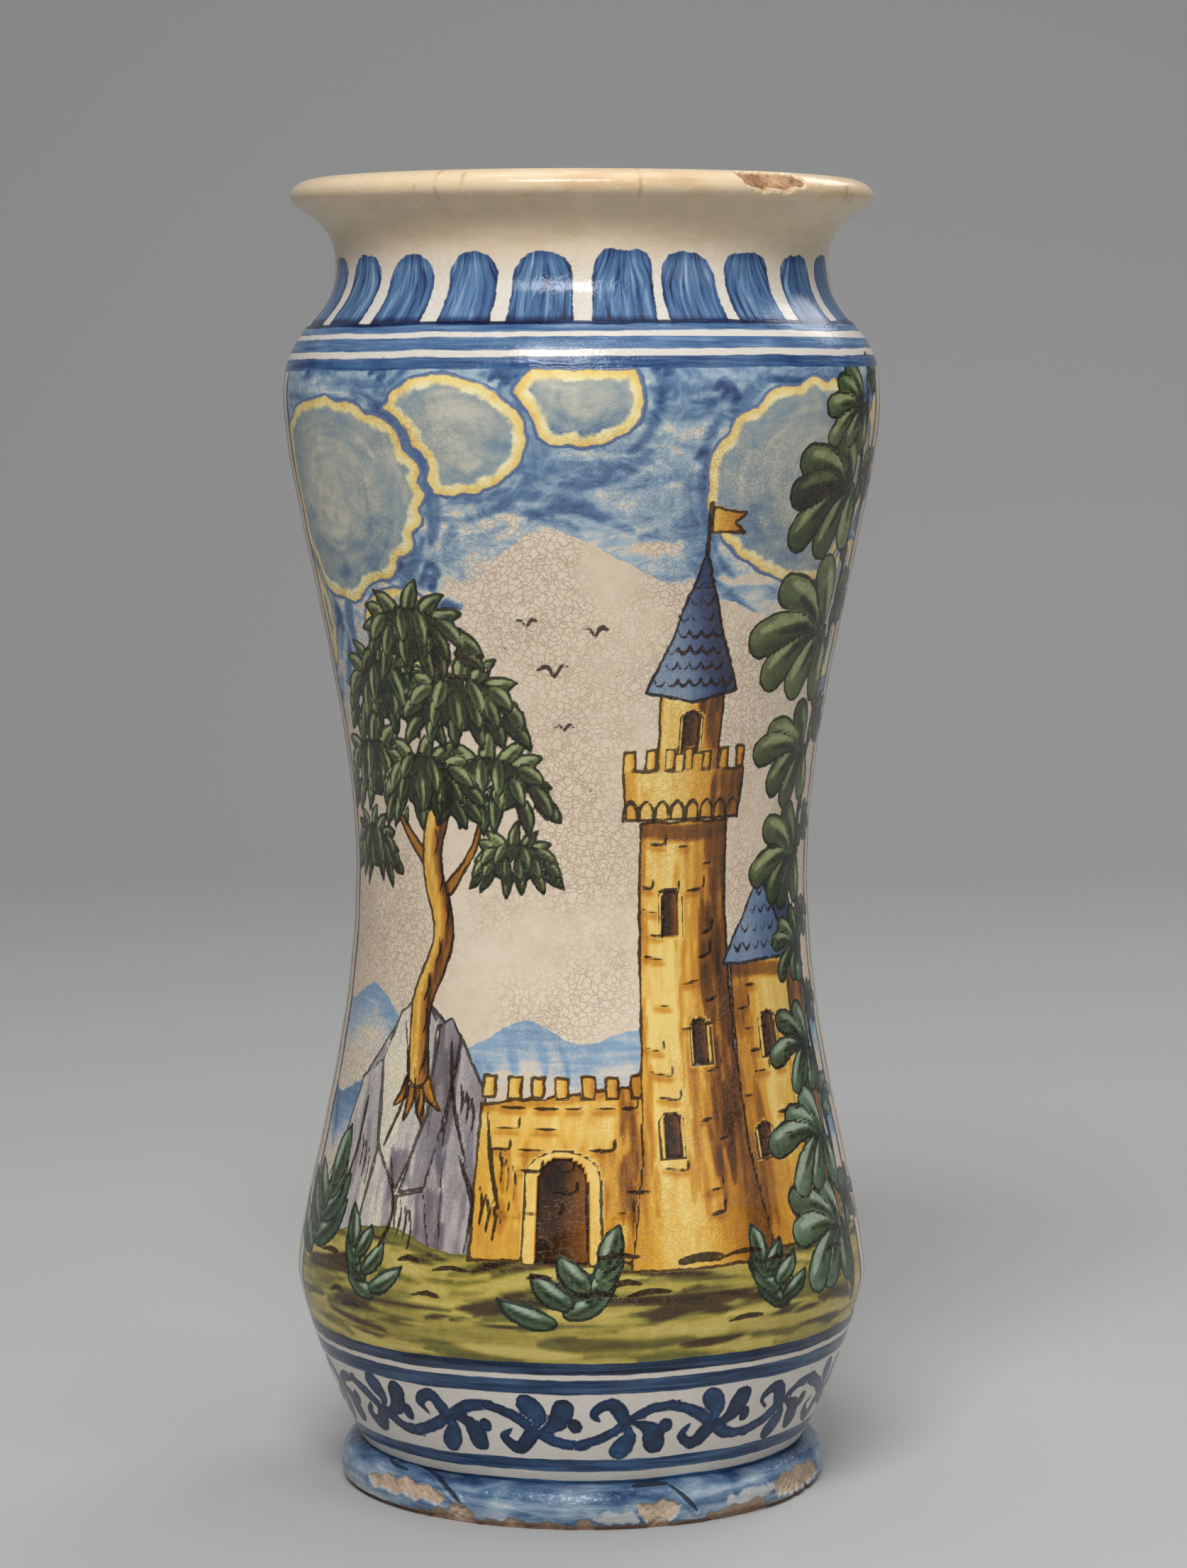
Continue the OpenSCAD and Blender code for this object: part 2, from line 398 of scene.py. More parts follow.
class Turning:
    """A mesh turned on the wheel from an outline of radius and height."""

    SLICE = 24
    SHARP = radians(40.0)
    MERGE = 2e-6

    def __init__(self, name: str, skin: Array, back: Array, sectors: Sequence[Sector],
                 start: float = 0.0, closed: bool = True) -> None:
        """Turns the outline and keeps each vertex's place on the wheel.

        Args:
            name: name of the piece.
            skin: visible side of the outline.
            back: hidden side, in the same direction.
            sectors: stretches of the turn, one full turn in all.
            start: azimuth to start at, in degrees.
            closed: whether the outline closes on itself.
        """
        outline = np.vstack([skin, back[::-1]])
        run, back_run = travelled(skin), travelled(back)
        places = np.concatenate([run, (-1.0 - back_run * run[-1] / back_run[-1])[::-1]])
        whole = bmesh.new()
        turn = start
        for sector in sectors:
            for done in range(0, sector.steps, self.SLICE):
                steps = min(self.SLICE, sector.steps - done)
                sweep = sector.sweep * steps / sector.steps
                self._add_slice(whole, outline, places, closed, radians(turn), radians(sweep), steps)
                turn += sweep
        bmesh.ops.remove_doubles(whole, verts=whole.verts, dist=self.MERGE)
        bmesh.ops.recalc_face_normals(whole, faces=whole.faces)
        for face in whole.faces:
            face.smooth = True
        self.mesh = bpy.data.meshes.new(name)
        whole.to_mesh(self.mesh)
        whole.free()
        self.mesh.set_sharp_from_angle(angle=self.SHARP)
        self.object = linked(name, self.mesh)
        self.at = self._read("position", 3) / MM
        arc = self._read("arc", 1)
        self.skin = arc >= 0.0
        self.arc = np.where(self.skin, arc, -1.0 - arc)
        self.azimuth = np.arctan2(self.at[:, 0], -self.at[:, 1])
        self.radius = np.hypot(self.at[:, 0], self.at[:, 1])
        self.height = self.at[:, 2].copy()
        self.around = self.azimuth * WRAP_R

    @staticmethod
    def _add_slice(whole: bmesh.types.BMesh, outline: Array, places: Array, closed: bool, turn: float,
                   sweep: float, steps: int) -> None:
        """Spins a few steps of the turn and adds them to the whole.

        Args:
            whole: the mesh that grows.
            outline: rows of radius and height.
            places: each row's place along the outline.
            closed: whether the outline closes on itself.
            turn: azimuth to start at, in radians.
            sweep: how far to spin, in radians.
            steps: steps of the spin.
        """
        bm = bmesh.new()
        arc = bm.verts.layers.float.new("arc")
        ring = []
        for (radius, height), place in zip(outline, places):
            vert = bm.verts.new((radius * sin(turn) * MM, -radius * cos(turn) * MM, height * MM))
            vert[arc] = place
            ring.append(vert)
        edges = [bm.edges.new(pair) for pair in zip(ring, ring[1:])]
        if closed:
            edges.append(bm.edges.new((ring[-1], ring[0])))
        bmesh.ops.spin(bm, geom=ring + edges, cent=(0, 0, 0), axis=(0, 0, 1), dvec=(0, 0, 0), angle=sweep,
                       steps=steps, use_merge=False)
        part = bpy.data.meshes.new("slice")
        bm.to_mesh(part)
        bm.free()
        whole.from_mesh(part)
        bpy.data.meshes.remove(part)

    def _read(self, name: str, width: int) -> Array:
        """Reads one of the mesh's attributes as an array.

        Args:
            name: the attribute's name.
            width: numbers for each vertex.

        Returns:
            The numbers, in rows if wider than one.
        """
        values = np.zeros(len(self.mesh.vertices) * width, np.float32)
        self.mesh.attributes[name].data.foreach_get("vector" if width == 3 else "value", values)
        return values.astype(float).reshape(-1, width) if width > 1 else values.astype(float)

    def hold(self, name: str, values: Array) -> None:
        """Keeps a field on the vertices for the finish to read.

        Args:
            name: the attribute's name.
            values: one number for each vertex.
        """
        held = self.mesh.attributes.new(name, "FLOAT", "POINT")
        held.data.foreach_set("value", values.astype(np.float32))

    def push(self, out: Array) -> None:
        """Moves every vertex along its radius by a distance.

        Args:
            out: the distance of each.
        """
        self.at[:, 0] += np.sin(self.azimuth) * out
        self.at[:, 1] -= np.cos(self.azimuth) * out
        self._place()

    def sink(self, depth: Array) -> None:
        """Moves the skin inwards along its own normals, and the back with it, by a depth.

        Args:
            depth: the depth at each vertex.
        """
        normals = np.zeros(len(self.mesh.vertices) * 3, np.float32)
        self.mesh.vertex_normals.foreach_get("vector", normals)
        way = np.where(self.skin, -1.0, 1.0)
        lowest = self.at[:, 2].min()
        self.at += normals.reshape(-1, 3).astype(float) * (way * depth)[:, None]
        self.at[:, 2] = np.maximum(self.at[:, 2], lowest)
        self._place()

    def _place(self) -> None:
        """Puts the vertices where they have moved to."""
        self.mesh.attributes["position"].data.foreach_set("vector", (self.at * MM).astype(np.float32).ravel())
        self.mesh.update()

    def seat(self, material: bpy.types.Material, slot: str, *nodes: str) -> None:
        """Dresses the piece and puts it on the jar in place of its CAD nodes.

        Args:
            material: its finish.
            slot: a material slot's name; not used.
            nodes: CAD nodes that it stands for.
        """
        self.mesh.materials.append(material)
        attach(self.object, BODY)
        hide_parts(*nodes)
        LOG.info("%s: %d vertices", self.object.name, len(self.mesh.vertices))


def hand_thrown(azimuth: Array, height: Array) -> Array:
    """Gives how far the potter's hands left the wall from a true circle.

    Args:
        azimuth: place round the jar, in radians.
        height: place up the jar.

    Returns:
        The distance along the radius.
    """
    oval = 0.13 * np.sin(2 * azimuth + 0.7 + height / 90) + 0.08 * np.sin(3 * azimuth - 1.1 + height / 55)
    rings = 0.05 * np.sin(height / 2.6 + 1.3 * np.sin(azimuth + 0.4)) * smoothstep(30, 60, height)
    return oval + rings


class Taper(Enum):
    """How a brush stroke's width runs from its start to its end."""

    EVEN = "even"
    LEAF = "leaf"
    COMMA = "comma"
    LINE = "line"
    BLADE = "blade"

    def widths(self, share: Array) -> Array:
        """Gives the share of the full width at each share of the length.

        Args:
            share: shares of the length.

        Returns:
            Shares of the width.
        """
        if self is Taper.LEAF:
            return 0.3 + 0.7 * np.sin(np.pi * np.clip(share, 0, 1) ** 1.5 * 0.62)
        if self is Taper.COMMA:
            return 0.12 + 0.88 * (1 - share) ** 0.8 * smoothstep(-0.25, 0.16, share)
        if self is Taper.LINE:
            return 0.35 + 0.65 * np.sin(np.pi * share) ** 0.7
        if self is Taper.BLADE:
            return 0.16 + 0.84 * np.sin(np.pi * np.clip(share, 0, 1) ** 0.78)
        return np.ones_like(share)


def eased(points: Line, closed: bool = False) -> Array:
    """Draws a smooth line through a few points.

    Args:
        points: places round the jar and up it.
        closed: whether the line ends where it starts.

    Returns:
        Rows of places.
    """
    p = np.array(points, float)
    if closed:
        p = np.vstack([p[-1], p, p[:2]])
    else:
        p = np.vstack([2 * p[0] - p[1], p, 2 * p[-1] - p[-2]])
    t = np.linspace(0, 1, PER_SPAN, endpoint=False)[:, None]
    spans = []
    for a, b, c, d in zip(p, p[1:], p[2:], p[3:]):
        spans.append(0.5 * (2 * b + (c - a) * t + (2 * a - 5 * b + 4 * c - d) * t**2
                            + (3 * b - a - 3 * c + d) * t**3))
    line = np.vstack(spans)
    return line if closed else np.vstack([line, p[-2]])


def outline_gap(ring: Array, x: Array, y: Array) -> Array:
    """Gives each place's distance from a closed outline, negative inside it.

    Args:
        ring: corners of the outline.
        x: places across.
        y: places up.

    Returns:
        The distances.
    """
    gap = np.full(len(x), NOWHERE)
    inside = np.zeros(len(x), bool)
    for a, b in zip(ring, np.roll(ring, -1, axis=0)):
        way = b - a
        t = np.clip(((x - a[0]) * way[0] + (y - a[1]) * way[1]) / max(float(way @ way), TINY), 0, 1)
        gap = np.minimum(gap, np.hypot(x - a[0] - t * way[0], y - a[1] - t * way[1]))
        if abs(way[1]) > TINY:
            inside ^= ((a[1] > y) != (b[1] > y)) & (x < a[0] + (y - a[1]) * way[0] / way[1])
    return np.where(inside, -gap, gap)


@dataclass
class Coat:
    """One pigment on the canvas: how far each vertex is from its edge, and how dark it lies there."""

    edge: Array
    tone: Array


@dataclass
class Trace:
    """The vertices near a brush stroke and their places on it."""

    index: Array
    gap: Array
    along: Array
    side: Array


class Canvas:
    """The wrapped surface of a coat of glaze, painted with brush strokes."""

    FAR = 30.0
    RIM = 1.4
    AROUND = 9.0

    def __init__(self, turning: Turning, pigments: Sequence[str], up: Array | None = None) -> None:
        """Prepares one bare coat for each pigment.

        Args:
            turning: the piece that is painted.
            pigments: names of the coats.
            up: places up the canvas, if not heights.
        """
        self.turning = turning
        self.across, self.up = turning.around, turning.height if up is None else up
        count = len(self.up)
        self.coats = {name: Coat(np.full(count, self.FAR), np.zeros(count)) for name in pigments}
        self.lowest, self.highest = float(self.up.min()), float(self.up.max())

    def near(self, places: Array, reach: float) -> Array:
        """Finds the visible vertices within reach of some places.

        Args:
            places: rows of places round and up.
            reach: how far from their box a vertex may be.

        Returns:
            The vertices' numbers.
        """
        low, high = places.min(axis=0) - reach, places.max(axis=0) + reach
        if high[1] < self.lowest or low[1] > self.highest:
            return np.zeros(0, int)
        inside = (self.up > low[1]) & (self.up < high[1]) & (self.across > low[0]) & (self.across < high[0])
        return np.flatnonzero(inside & self.turning.skin)

    def lay(self, pigment: str, index: Array, edge: Array, tone: Array | float) -> None:
        """Lays a shape over what the coat already holds.

        Args:
            pigment: name of the coat.
            index: vertices that the shape may touch.
            edge: distance of each from the shape's edge, negative inside.
            tone: darkness of the pigment at each.
        """
        coat = self.coats[pigment]
        old = coat.edge[index]
        inside = edge < 0
        fringe = ~inside & (old > 0) & (edge < np.minimum(old, self.RIM))
        coat.edge[index] = np.where(inside, edge, np.where(old > 0, np.minimum(old, edge), old))
        coat.tone[index] = np.where(inside | fringe, tone, coat.tone[index])

    def trace(self, points: Line, width: float, taper: Taper) -> Trace:
        """Measures the vertices near a stroke.

        Args:
            points: places on its way.
            width: full width.
            taper: how the width runs.

        Returns:
            The vertices and their places on the stroke.
        """
        line = eased(points)
        index = self.near(line, width / 2 + self.RIM)
        share = np.linspace(0, 1, len(line))
        half = width / 2 * taper.widths(share)
        place = np.stack([self.across[index], self.up[index]], axis=1)
        best = np.full(len(index), NOWHERE)
        along, side = np.zeros(len(index)), np.zeros(len(index))
        if len(index):
            for k in range(len(line) - 1):
                way = line[k + 1] - line[k]
                size = max(float(way @ way), TINY)
                off = place - line[k]
                t = np.clip(off @ way / size, 0, 1)
                reach = half[k] + (half[k + 1] - half[k]) * t
                gap = np.linalg.norm(off - t[:, None] * way, axis=1) - reach
                closer = gap < best
                best = np.where(closer, gap, best)
                along = np.where(closer, share[k] + (share[k + 1] - share[k]) * t, along)
                turned = (way[0] * off[:, 1] - way[1] * off[:, 0]) / sqrt(size) / np.maximum(reach, 0.05)
                side = np.where(closer, np.clip(turned, -1, 1), side)
        return Trace(index, best, along, side)

    def stroke(self, pigment: str, points: Line, width: float, tone: float = 0.5,
               taper: Taper = Taper.EVEN, fade: float = 0.0, bias: float = 0.0) -> None:
        """Draws one brush stroke.

        Args:
            pigment: name of the coat.
            points: places on its way.
            width: full width.
            tone: darkness of the pigment.
            taper: how the width runs.
            fade: change of tone from start to end.
            bias: change of tone from side to side.
        """
        mark = self.trace(points, width, taper)
        self.lay(pigment, mark.index, mark.gap, tone + fade * (mark.along - 0.5) + bias * mark.side)

    def shade(self, pigment: str, points: Line, width: float, tone: float, taper: Taper = Taper.LINE,
              strength: float = 0.7, soft: float = 0.5) -> None:
        """Works a stroke into pigment that is already there, without an edge of its own.

        Args:
            pigment: name of the coat.
            points: places on its way.
            width: full width.
            tone: darkness that the stroke brings.
            taper: how the width runs.
            strength: share of the new tone.
            soft: how far its sides fade.
        """
        mark = self.trace(points, width, taper)
        coat = self.coats[pigment]
        share = strength * smoothstep(soft, -soft, mark.gap) * (coat.edge[mark.index] < 0.3)
        coat.tone[mark.index] += (tone - coat.tone[mark.index]) * share

    def fill(self, pigment: str, points: Line, tone: float | ToneRule = 0.5, smooth: bool = False) -> None:
        """Fills an outline.

        Args:
            pigment: name of the coat.
            points: corners of the outline.
            tone: darkness, or a rule that gives it.
            smooth: whether its corners are eased.
        """
        ring = eased(points, closed=True) if smooth else np.array(points, float)
        index = self.near(ring, self.RIM)
        if len(index):
            x, y = self.across[index], self.up[index]
            self.lay(pigment, index, outline_gap(ring, x, y), tone(x, y) if callable(tone) else tone)

    def reserve(self, pigment: str, points: Line, line: float) -> None:
        """Leaves a bare line through a coat, round a shape that is about to be laid over it.

        Args:
            pigment: name of the coat.
            points: corners of the shape.
            line: width of the bare line.
        """
        ring = np.array(points, float)
        index = self.near(ring, self.AROUND)
        if len(index):
            gap = outline_gap(ring, self.across[index], self.up[index])
            coat = self.coats[pigment]
            coat.edge[index] = np.maximum(coat.edge[index], np.minimum(gap, line - gap))

    def trim(self, pigments: Sequence[str], half: float) -> None:
        """Cuts pigments off at the same distance to both sides of the front.

        Args:
            pigments: names of the coats.
            half: half width of what stays.
        """
        for name in pigments:
            self.coats[name].edge = np.maximum(self.coats[name].edge, np.abs(self.across) - half)

    def keep(self) -> None:
        """Hands every coat to the piece's mesh."""
        for name, coat in self.coats.items():
            self.turning.hold(f"{name}_edge", coat.edge)
            self.turning.hold(f"{name}_tone", np.clip(coat.tone, 0, 1))


class Value:
    """A shader value, with Python's arithmetic on its socket."""

    def __init__(self, sheet: Sheet, socket: bpy.types.NodeSocket) -> None:
        """Wraps a node's output socket."""
        self.sheet, self.socket = sheet, socket

    def __add__(self, other: Value | float) -> Value:
        """Adds two values."""
        return self.sheet.math("ADD", self, other)

    __radd__ = __add__

    def __sub__(self, other: Value | float) -> Value:
        """Takes a value away."""
        return self.sheet.math("SUBTRACT", self, other)

    def __rsub__(self, other: float) -> Value:
        """Takes this value away from a number."""
        return self.sheet.math("SUBTRACT", other, self)

    def __mul__(self, other: Value | float) -> Value:
        """Multiplies two values."""
        return self.sheet.math("MULTIPLY", self, other)

    __rmul__ = __mul__

    def size(self) -> Value:
        """Gives the value without its sign."""
        return self.sheet.math("ABSOLUTE", self)

    def eased(self, low: float, high: float) -> Value:
        """Eases the value from 0 at low to 1 at high, which may be the lower number.

        Args:
            low: where it is 0.
            high: where it is 1.

        Returns:
            The eased value.
        """
        turned = low > high
        ends = (high, low) if turned else (low, high)
        node = self.sheet.node("ShaderNodeMapRange", {"interpolation_type": "SMOOTHSTEP", "clamp": True},
                               {"Value": self, "From Min": ends[0], "From Max": ends[1],
                                "To Min": 1.0 if turned else 0.0, "To Max": 0.0 if turned else 1.0})
        return self.sheet.take(node, "Result")


class Sheet:
    """The node tree of one finish."""

    def __init__(self, name: str) -> None:
        """Starts a material with its surface shader and its place in millimetres.

        Args:
            name: the material's name.
        """
        self.material = bpy.data.materials.new(name)
        self.material.use_nodes = True
        self.tree = self.material.node_tree
        self.surface = self.tree.nodes["Principled BSDF"]
        coordinates = self.node("ShaderNodeTexCoord", {}, {})
        scaled = self.node("ShaderNodeVectorMath", {"operation": "SCALE"},
                           {0: Value(self, coordinates.outputs["Object"]), "Scale": 1.0 / MM})
        self.place = self.take(scaled, "Vector")
        parts = self.node("ShaderNodeSeparateXYZ", {}, {0: self.place})
        self.right, self.height = self.take(parts, "X"), self.take(parts, "Z")

    def node(self, kind: str, settings: dict[str, Any], sockets: dict[str | int, Any]) -> bpy.types.Node:
        """Adds a node.

        Args:
            kind: the node's type.
            settings: what is set first, such as a ramp's stops.
            sockets: values or links of its inputs.

        Returns:
            The new node.
        """
        made = self.tree.nodes.new(kind)
        for name, value in settings.items():
            if name == "stops":
                ramp = made.color_ramp
                for spot, colour in value[1:-1]:
                    ramp.elements.new(spot).color = colour
                ramp.elements[0].position, ramp.elements[0].color = value[0]
                ramp.elements[-1].position, ramp.elements[-1].color = value[-1]
            else:
                setattr(made, name, value)
        self.join(made, sockets)
        return made

    def join(self, node: bpy.types.Node, sockets: dict[str | int, Any]) -> None:
        """Sets or links a node's input sockets.

        Args:
            node: the node.
            sockets: their values or links.
        """
        for name, value in sockets.items():
            if isinstance(value, Value):
                self.tree.links.new(value.socket, node.inputs[name])
            else:
                node.inputs[name].default_value = value

    def take(self, node: bpy.types.Node, output: str | int) -> Value:
        """Wraps one of a node's outputs."""
        return Value(self, node.outputs[output])

    def math(self, operation: str, *values: Value | float) -> Value:
        """Adds a Math node for one operation."""
        return self.take(self.node("ShaderNodeMath", {"operation": operation}, dict(enumerate(values))), 0)

    def mix(self, under: Value | Colour, over: Value | Colour, share: Value | float) -> Value:
        """Lays one colour over another by a share."""
        settings = {"data_type": "RGBA", "clamp_factor": True}
        return self.take(self.node("ShaderNodeMix", settings, {0: share, 6: under, 7: over}), 2)

    def ramp(self, share: Value, stops: Stops) -> Value:
        """Turns a value into a colour between stops."""
        return self.take(self.node("ShaderNodeValToRGB", {"stops": stops}, {"Fac": share}), "Color")

    def stretched(self, across: float, up: float) -> Value:
        """Gives the place scaled apart round the jar and up it, for streaks.

        Args:
            across: scale round the jar.
            up: scale up it.

        Returns:
            The scaled place.
        """
        node = self.node("ShaderNodeVectorMath", {"operation": "MULTIPLY"},
                         {0: self.place, 1: (across, across, up)})
        return self.take(node, "Vector")

    def noise(self, scale: float, place: Value | None = None, detail: float = 2.0, rough: float = 0.5,
              twist: float = 0.0) -> Value:
        """Gives smooth noise of a scale in cells per millimetre, which curls where it has a twist.

        Args:
            scale: cells in a millimetre.
            place: where to read it, if elsewhere.
            detail: finer layers.
            rough: how strong they are.
            twist: how far it curls.

        Returns:
            The noise, about 0.5.
        """
        node = self.node("ShaderNodeTexNoise", {}, {"Vector": place or self.place, "Scale": scale, "Detail": detail,
                                                    "Roughness": rough, "Distortion": twist})
        return self.take(node, 0)

    def field(self, name: str) -> Value:
        """Reads a field that the mesh holds."""
        return self.take(self.node("ShaderNodeAttribute", {"attribute_name": name}, {}), "Fac")

    def finish(self, colour: Value | Colour, rough: Value | float, relief: Value | None = None,
               depth: float = 0.0002, gloss: float = 0.5) -> bpy.types.Material:
        """Joins colour, roughness and relief to the surface.

        Args:
            colour: base colour.
            rough: roughness.
            relief: height from 0 to 1 for the bump, if any.
            depth: how deep a relief of 1 is, in metres.
            gloss: specular level, the same all over.

        Returns:
            The finished material.
        """
        sockets = {"Base Color": colour, "Roughness": rough, "Specular IOR Level": gloss}
        if relief is not None:
            bump = self.node("ShaderNodeBump", {}, {"Strength": 1.0, "Distance": depth, "Height": relief})
            sockets["Normal"] = self.take(bump, "Normal")
        self.join(self.surface, sockets)
        return self.material


COBALT = shades((206, 213, 214), (136, 166, 190), (73, 110, 151), (33, 65, 112), (8, 24, 60))
GOLD = shades((236, 207, 124), (220, 168, 64), (190, 126, 36), (118, 69, 20), (43, 25, 12))
GREEN = shades((158, 174, 152), (106, 130, 106), (66, 90, 66), (38, 54, 40), (16, 22, 17))
OLIVE = shades((158, 164, 116), (108, 120, 76), (66, 80, 46), (37, 47, 27), (15, 19, 12))
SKY = shades((202, 206, 200), (146, 168, 183), (88, 120, 154), (42, 74, 118), (12, 32, 72))
FOOT_BLUE = shades((208, 208, 200), (138, 157, 173), (80, 106, 135), (34, 59, 94), (8, 20, 44))
BORDER_BLUE = shades((204, 212, 212), (118, 156, 186), (48, 100, 146), (8, 56, 96), (0, 23, 46))
EARTH = shades((202, 182, 100), (170, 152, 66), (110, 106, 44), (74, 55, 24), (32, 24, 14))
STONE = shades((228, 216, 190), (190, 184, 178), (128, 121, 126), (52, 46, 50), at=(0.0, 0.3, 0.6, 1.0))
ROOF = shades((150, 168, 182), (92, 118, 150), (46, 68, 104), (17, 24, 42), at=(0.0, 0.35, 0.65, 1.0))
INK = paint(33, 24, 19)
LEAF_INK = paint(22, 29, 23)
CLOUD_RIM = shades((222, 184, 100), (236, 209, 130), (240, 224, 166), (240, 232, 198), at=(0.0, 0.35, 0.7, 1.0))
CLOUD = shades((196, 192, 176), (166, 170, 162), (136, 152, 158), (98, 122, 146), (58, 86, 126),
               at=(0.0, 0.3, 0.55, 0.8, 1.0))


@dataclass
class Surface:
    """What a finish is made of so far."""

    sheet: Sheet
    colour: Value
    rough: Value
    relief: Value
    cracks: Value

    def wash(self, colour: Value | Colour, share: Value | float) -> None:
        """Lays a colour over the surface by a share."""
        self.colour = self.sheet.mix(self.colour, colour, share)


@dataclass(frozen=True)
class TinGlaze:
    """Opaque cream tin glaze: clouded, crackled and pricked with brown specks."""

    pale: Colour = paint(223, 208, 186)
    warm: Colour = paint(211, 192, 167)
    white: Colour = paint(214, 211, 204)
    whiteness: float = 0.0
    crackle: Colour = paint(162, 122, 98)
    speck: Colour = paint(92, 66, 46)
    cell: float = 1.55
    crackle_strength: float = 0.34
    gloss: float = 0.28
    depth: float = 0.0006
    border_fade: Pair = (44, 34)
    neck_rise: Pair = (248, 262)
    neck_fade: Pair = (290, 272)
    wall_rise: Pair = (34, 74)
    wall_fade: Pair = (256, 240)

    def ground(self, sheet: Sheet) -> Surface:
        """Lays the bare glaze.

        Args:
            sheet: the finish's node tree.

        Returns:
            The glaze before any painting.
        """
        height = sheet.height
        broad = sheet.noise(0.022, detail=3.0)
        fine = sheet.noise(0.3, detail=3.0)
        colour = sheet.mix(self.pale, self.warm, (broad * 0.75 + fine * 0.45).eased(0.38, 0.82))
        if self.whiteness:
            thick = height.eased(*self.border_fade) + height.eased(*self.neck_rise) * height.eased(*self.neck_fade)
            colour = sheet.mix(colour, self.white, thick * self.whiteness)
        warp = sheet.node("ShaderNodeTexNoise", {}, {"Vector": sheet.place, "Scale": 0.5, "Detail": 3.0})
        shifted = sheet.node("ShaderNodeVectorMath", {"operation": "MULTIPLY_ADD"},
                             {0: sheet.take(warp, "Color"), 1: (3.4, 3.4, 3.4), 2: sheet.place})
        cells = sheet.node("ShaderNodeTexVoronoi", {"feature": "DISTANCE_TO_EDGE"},
                           {"Vector": sheet.take(shifted, "Vector"), "Scale": 1.0 / self.cell})
        gap = sheet.take(cells, "Distance")
        patches = sheet.noise(0.035, sheet.stretched(1.0, 0.8)).eased(0.3, 0.58)
        open_wall = height.eased(*self.wall_rise) * height.eased(*self.wall_fade)
        cracks = gap.eased(0.1, 0.01) * patches * (0.25 + open_wall * 0.75)
        colour = sheet.mix(colour, self.crackle, cracks * self.crackle_strength)
        dots = sheet.node("ShaderNodeTexVoronoi", {"feature": "F1"},
                          {"Vector": sheet.place, "Scale": 0.13, "Randomness": 1.0})
        small = sheet.take(dots, "Distance").eased(0.075, 0.03) * sheet.noise(0.09, detail=1.0).eased(0.5, 0.62)
        colour = sheet.mix(colour, self.speck, small * 0.75)
        swell = sheet.noise(0.06)
        relief = swell * 0.8 + sheet.noise(0.5) * 0.1 - cracks * 0.13 - small * 0.15
        rough = 0.13 + fine * 0.1 + cracks * 0.12
        return Surface(sheet, colour, rough, relief, cracks)

    def decorate(self, surface: Surface) -> None:
        """Leaves the glaze bare."""

    def dress(self, name: str) -> bpy.types.Material:
        """Builds the finish.

        Args:
            name: the material's name.

        Returns:
            The finished material.
        """
        surface = self.ground(Sheet(name))
        self.decorate(surface)
        return surface.sheet.finish(surface.colour, surface.rough, surface.relief, self.depth, self.gloss)


def covered(edge: Value, soft: float = 0.16) -> Value:
    """Gives the share of pigment at a distance from its edge."""
    return edge.eased(soft, -soft)


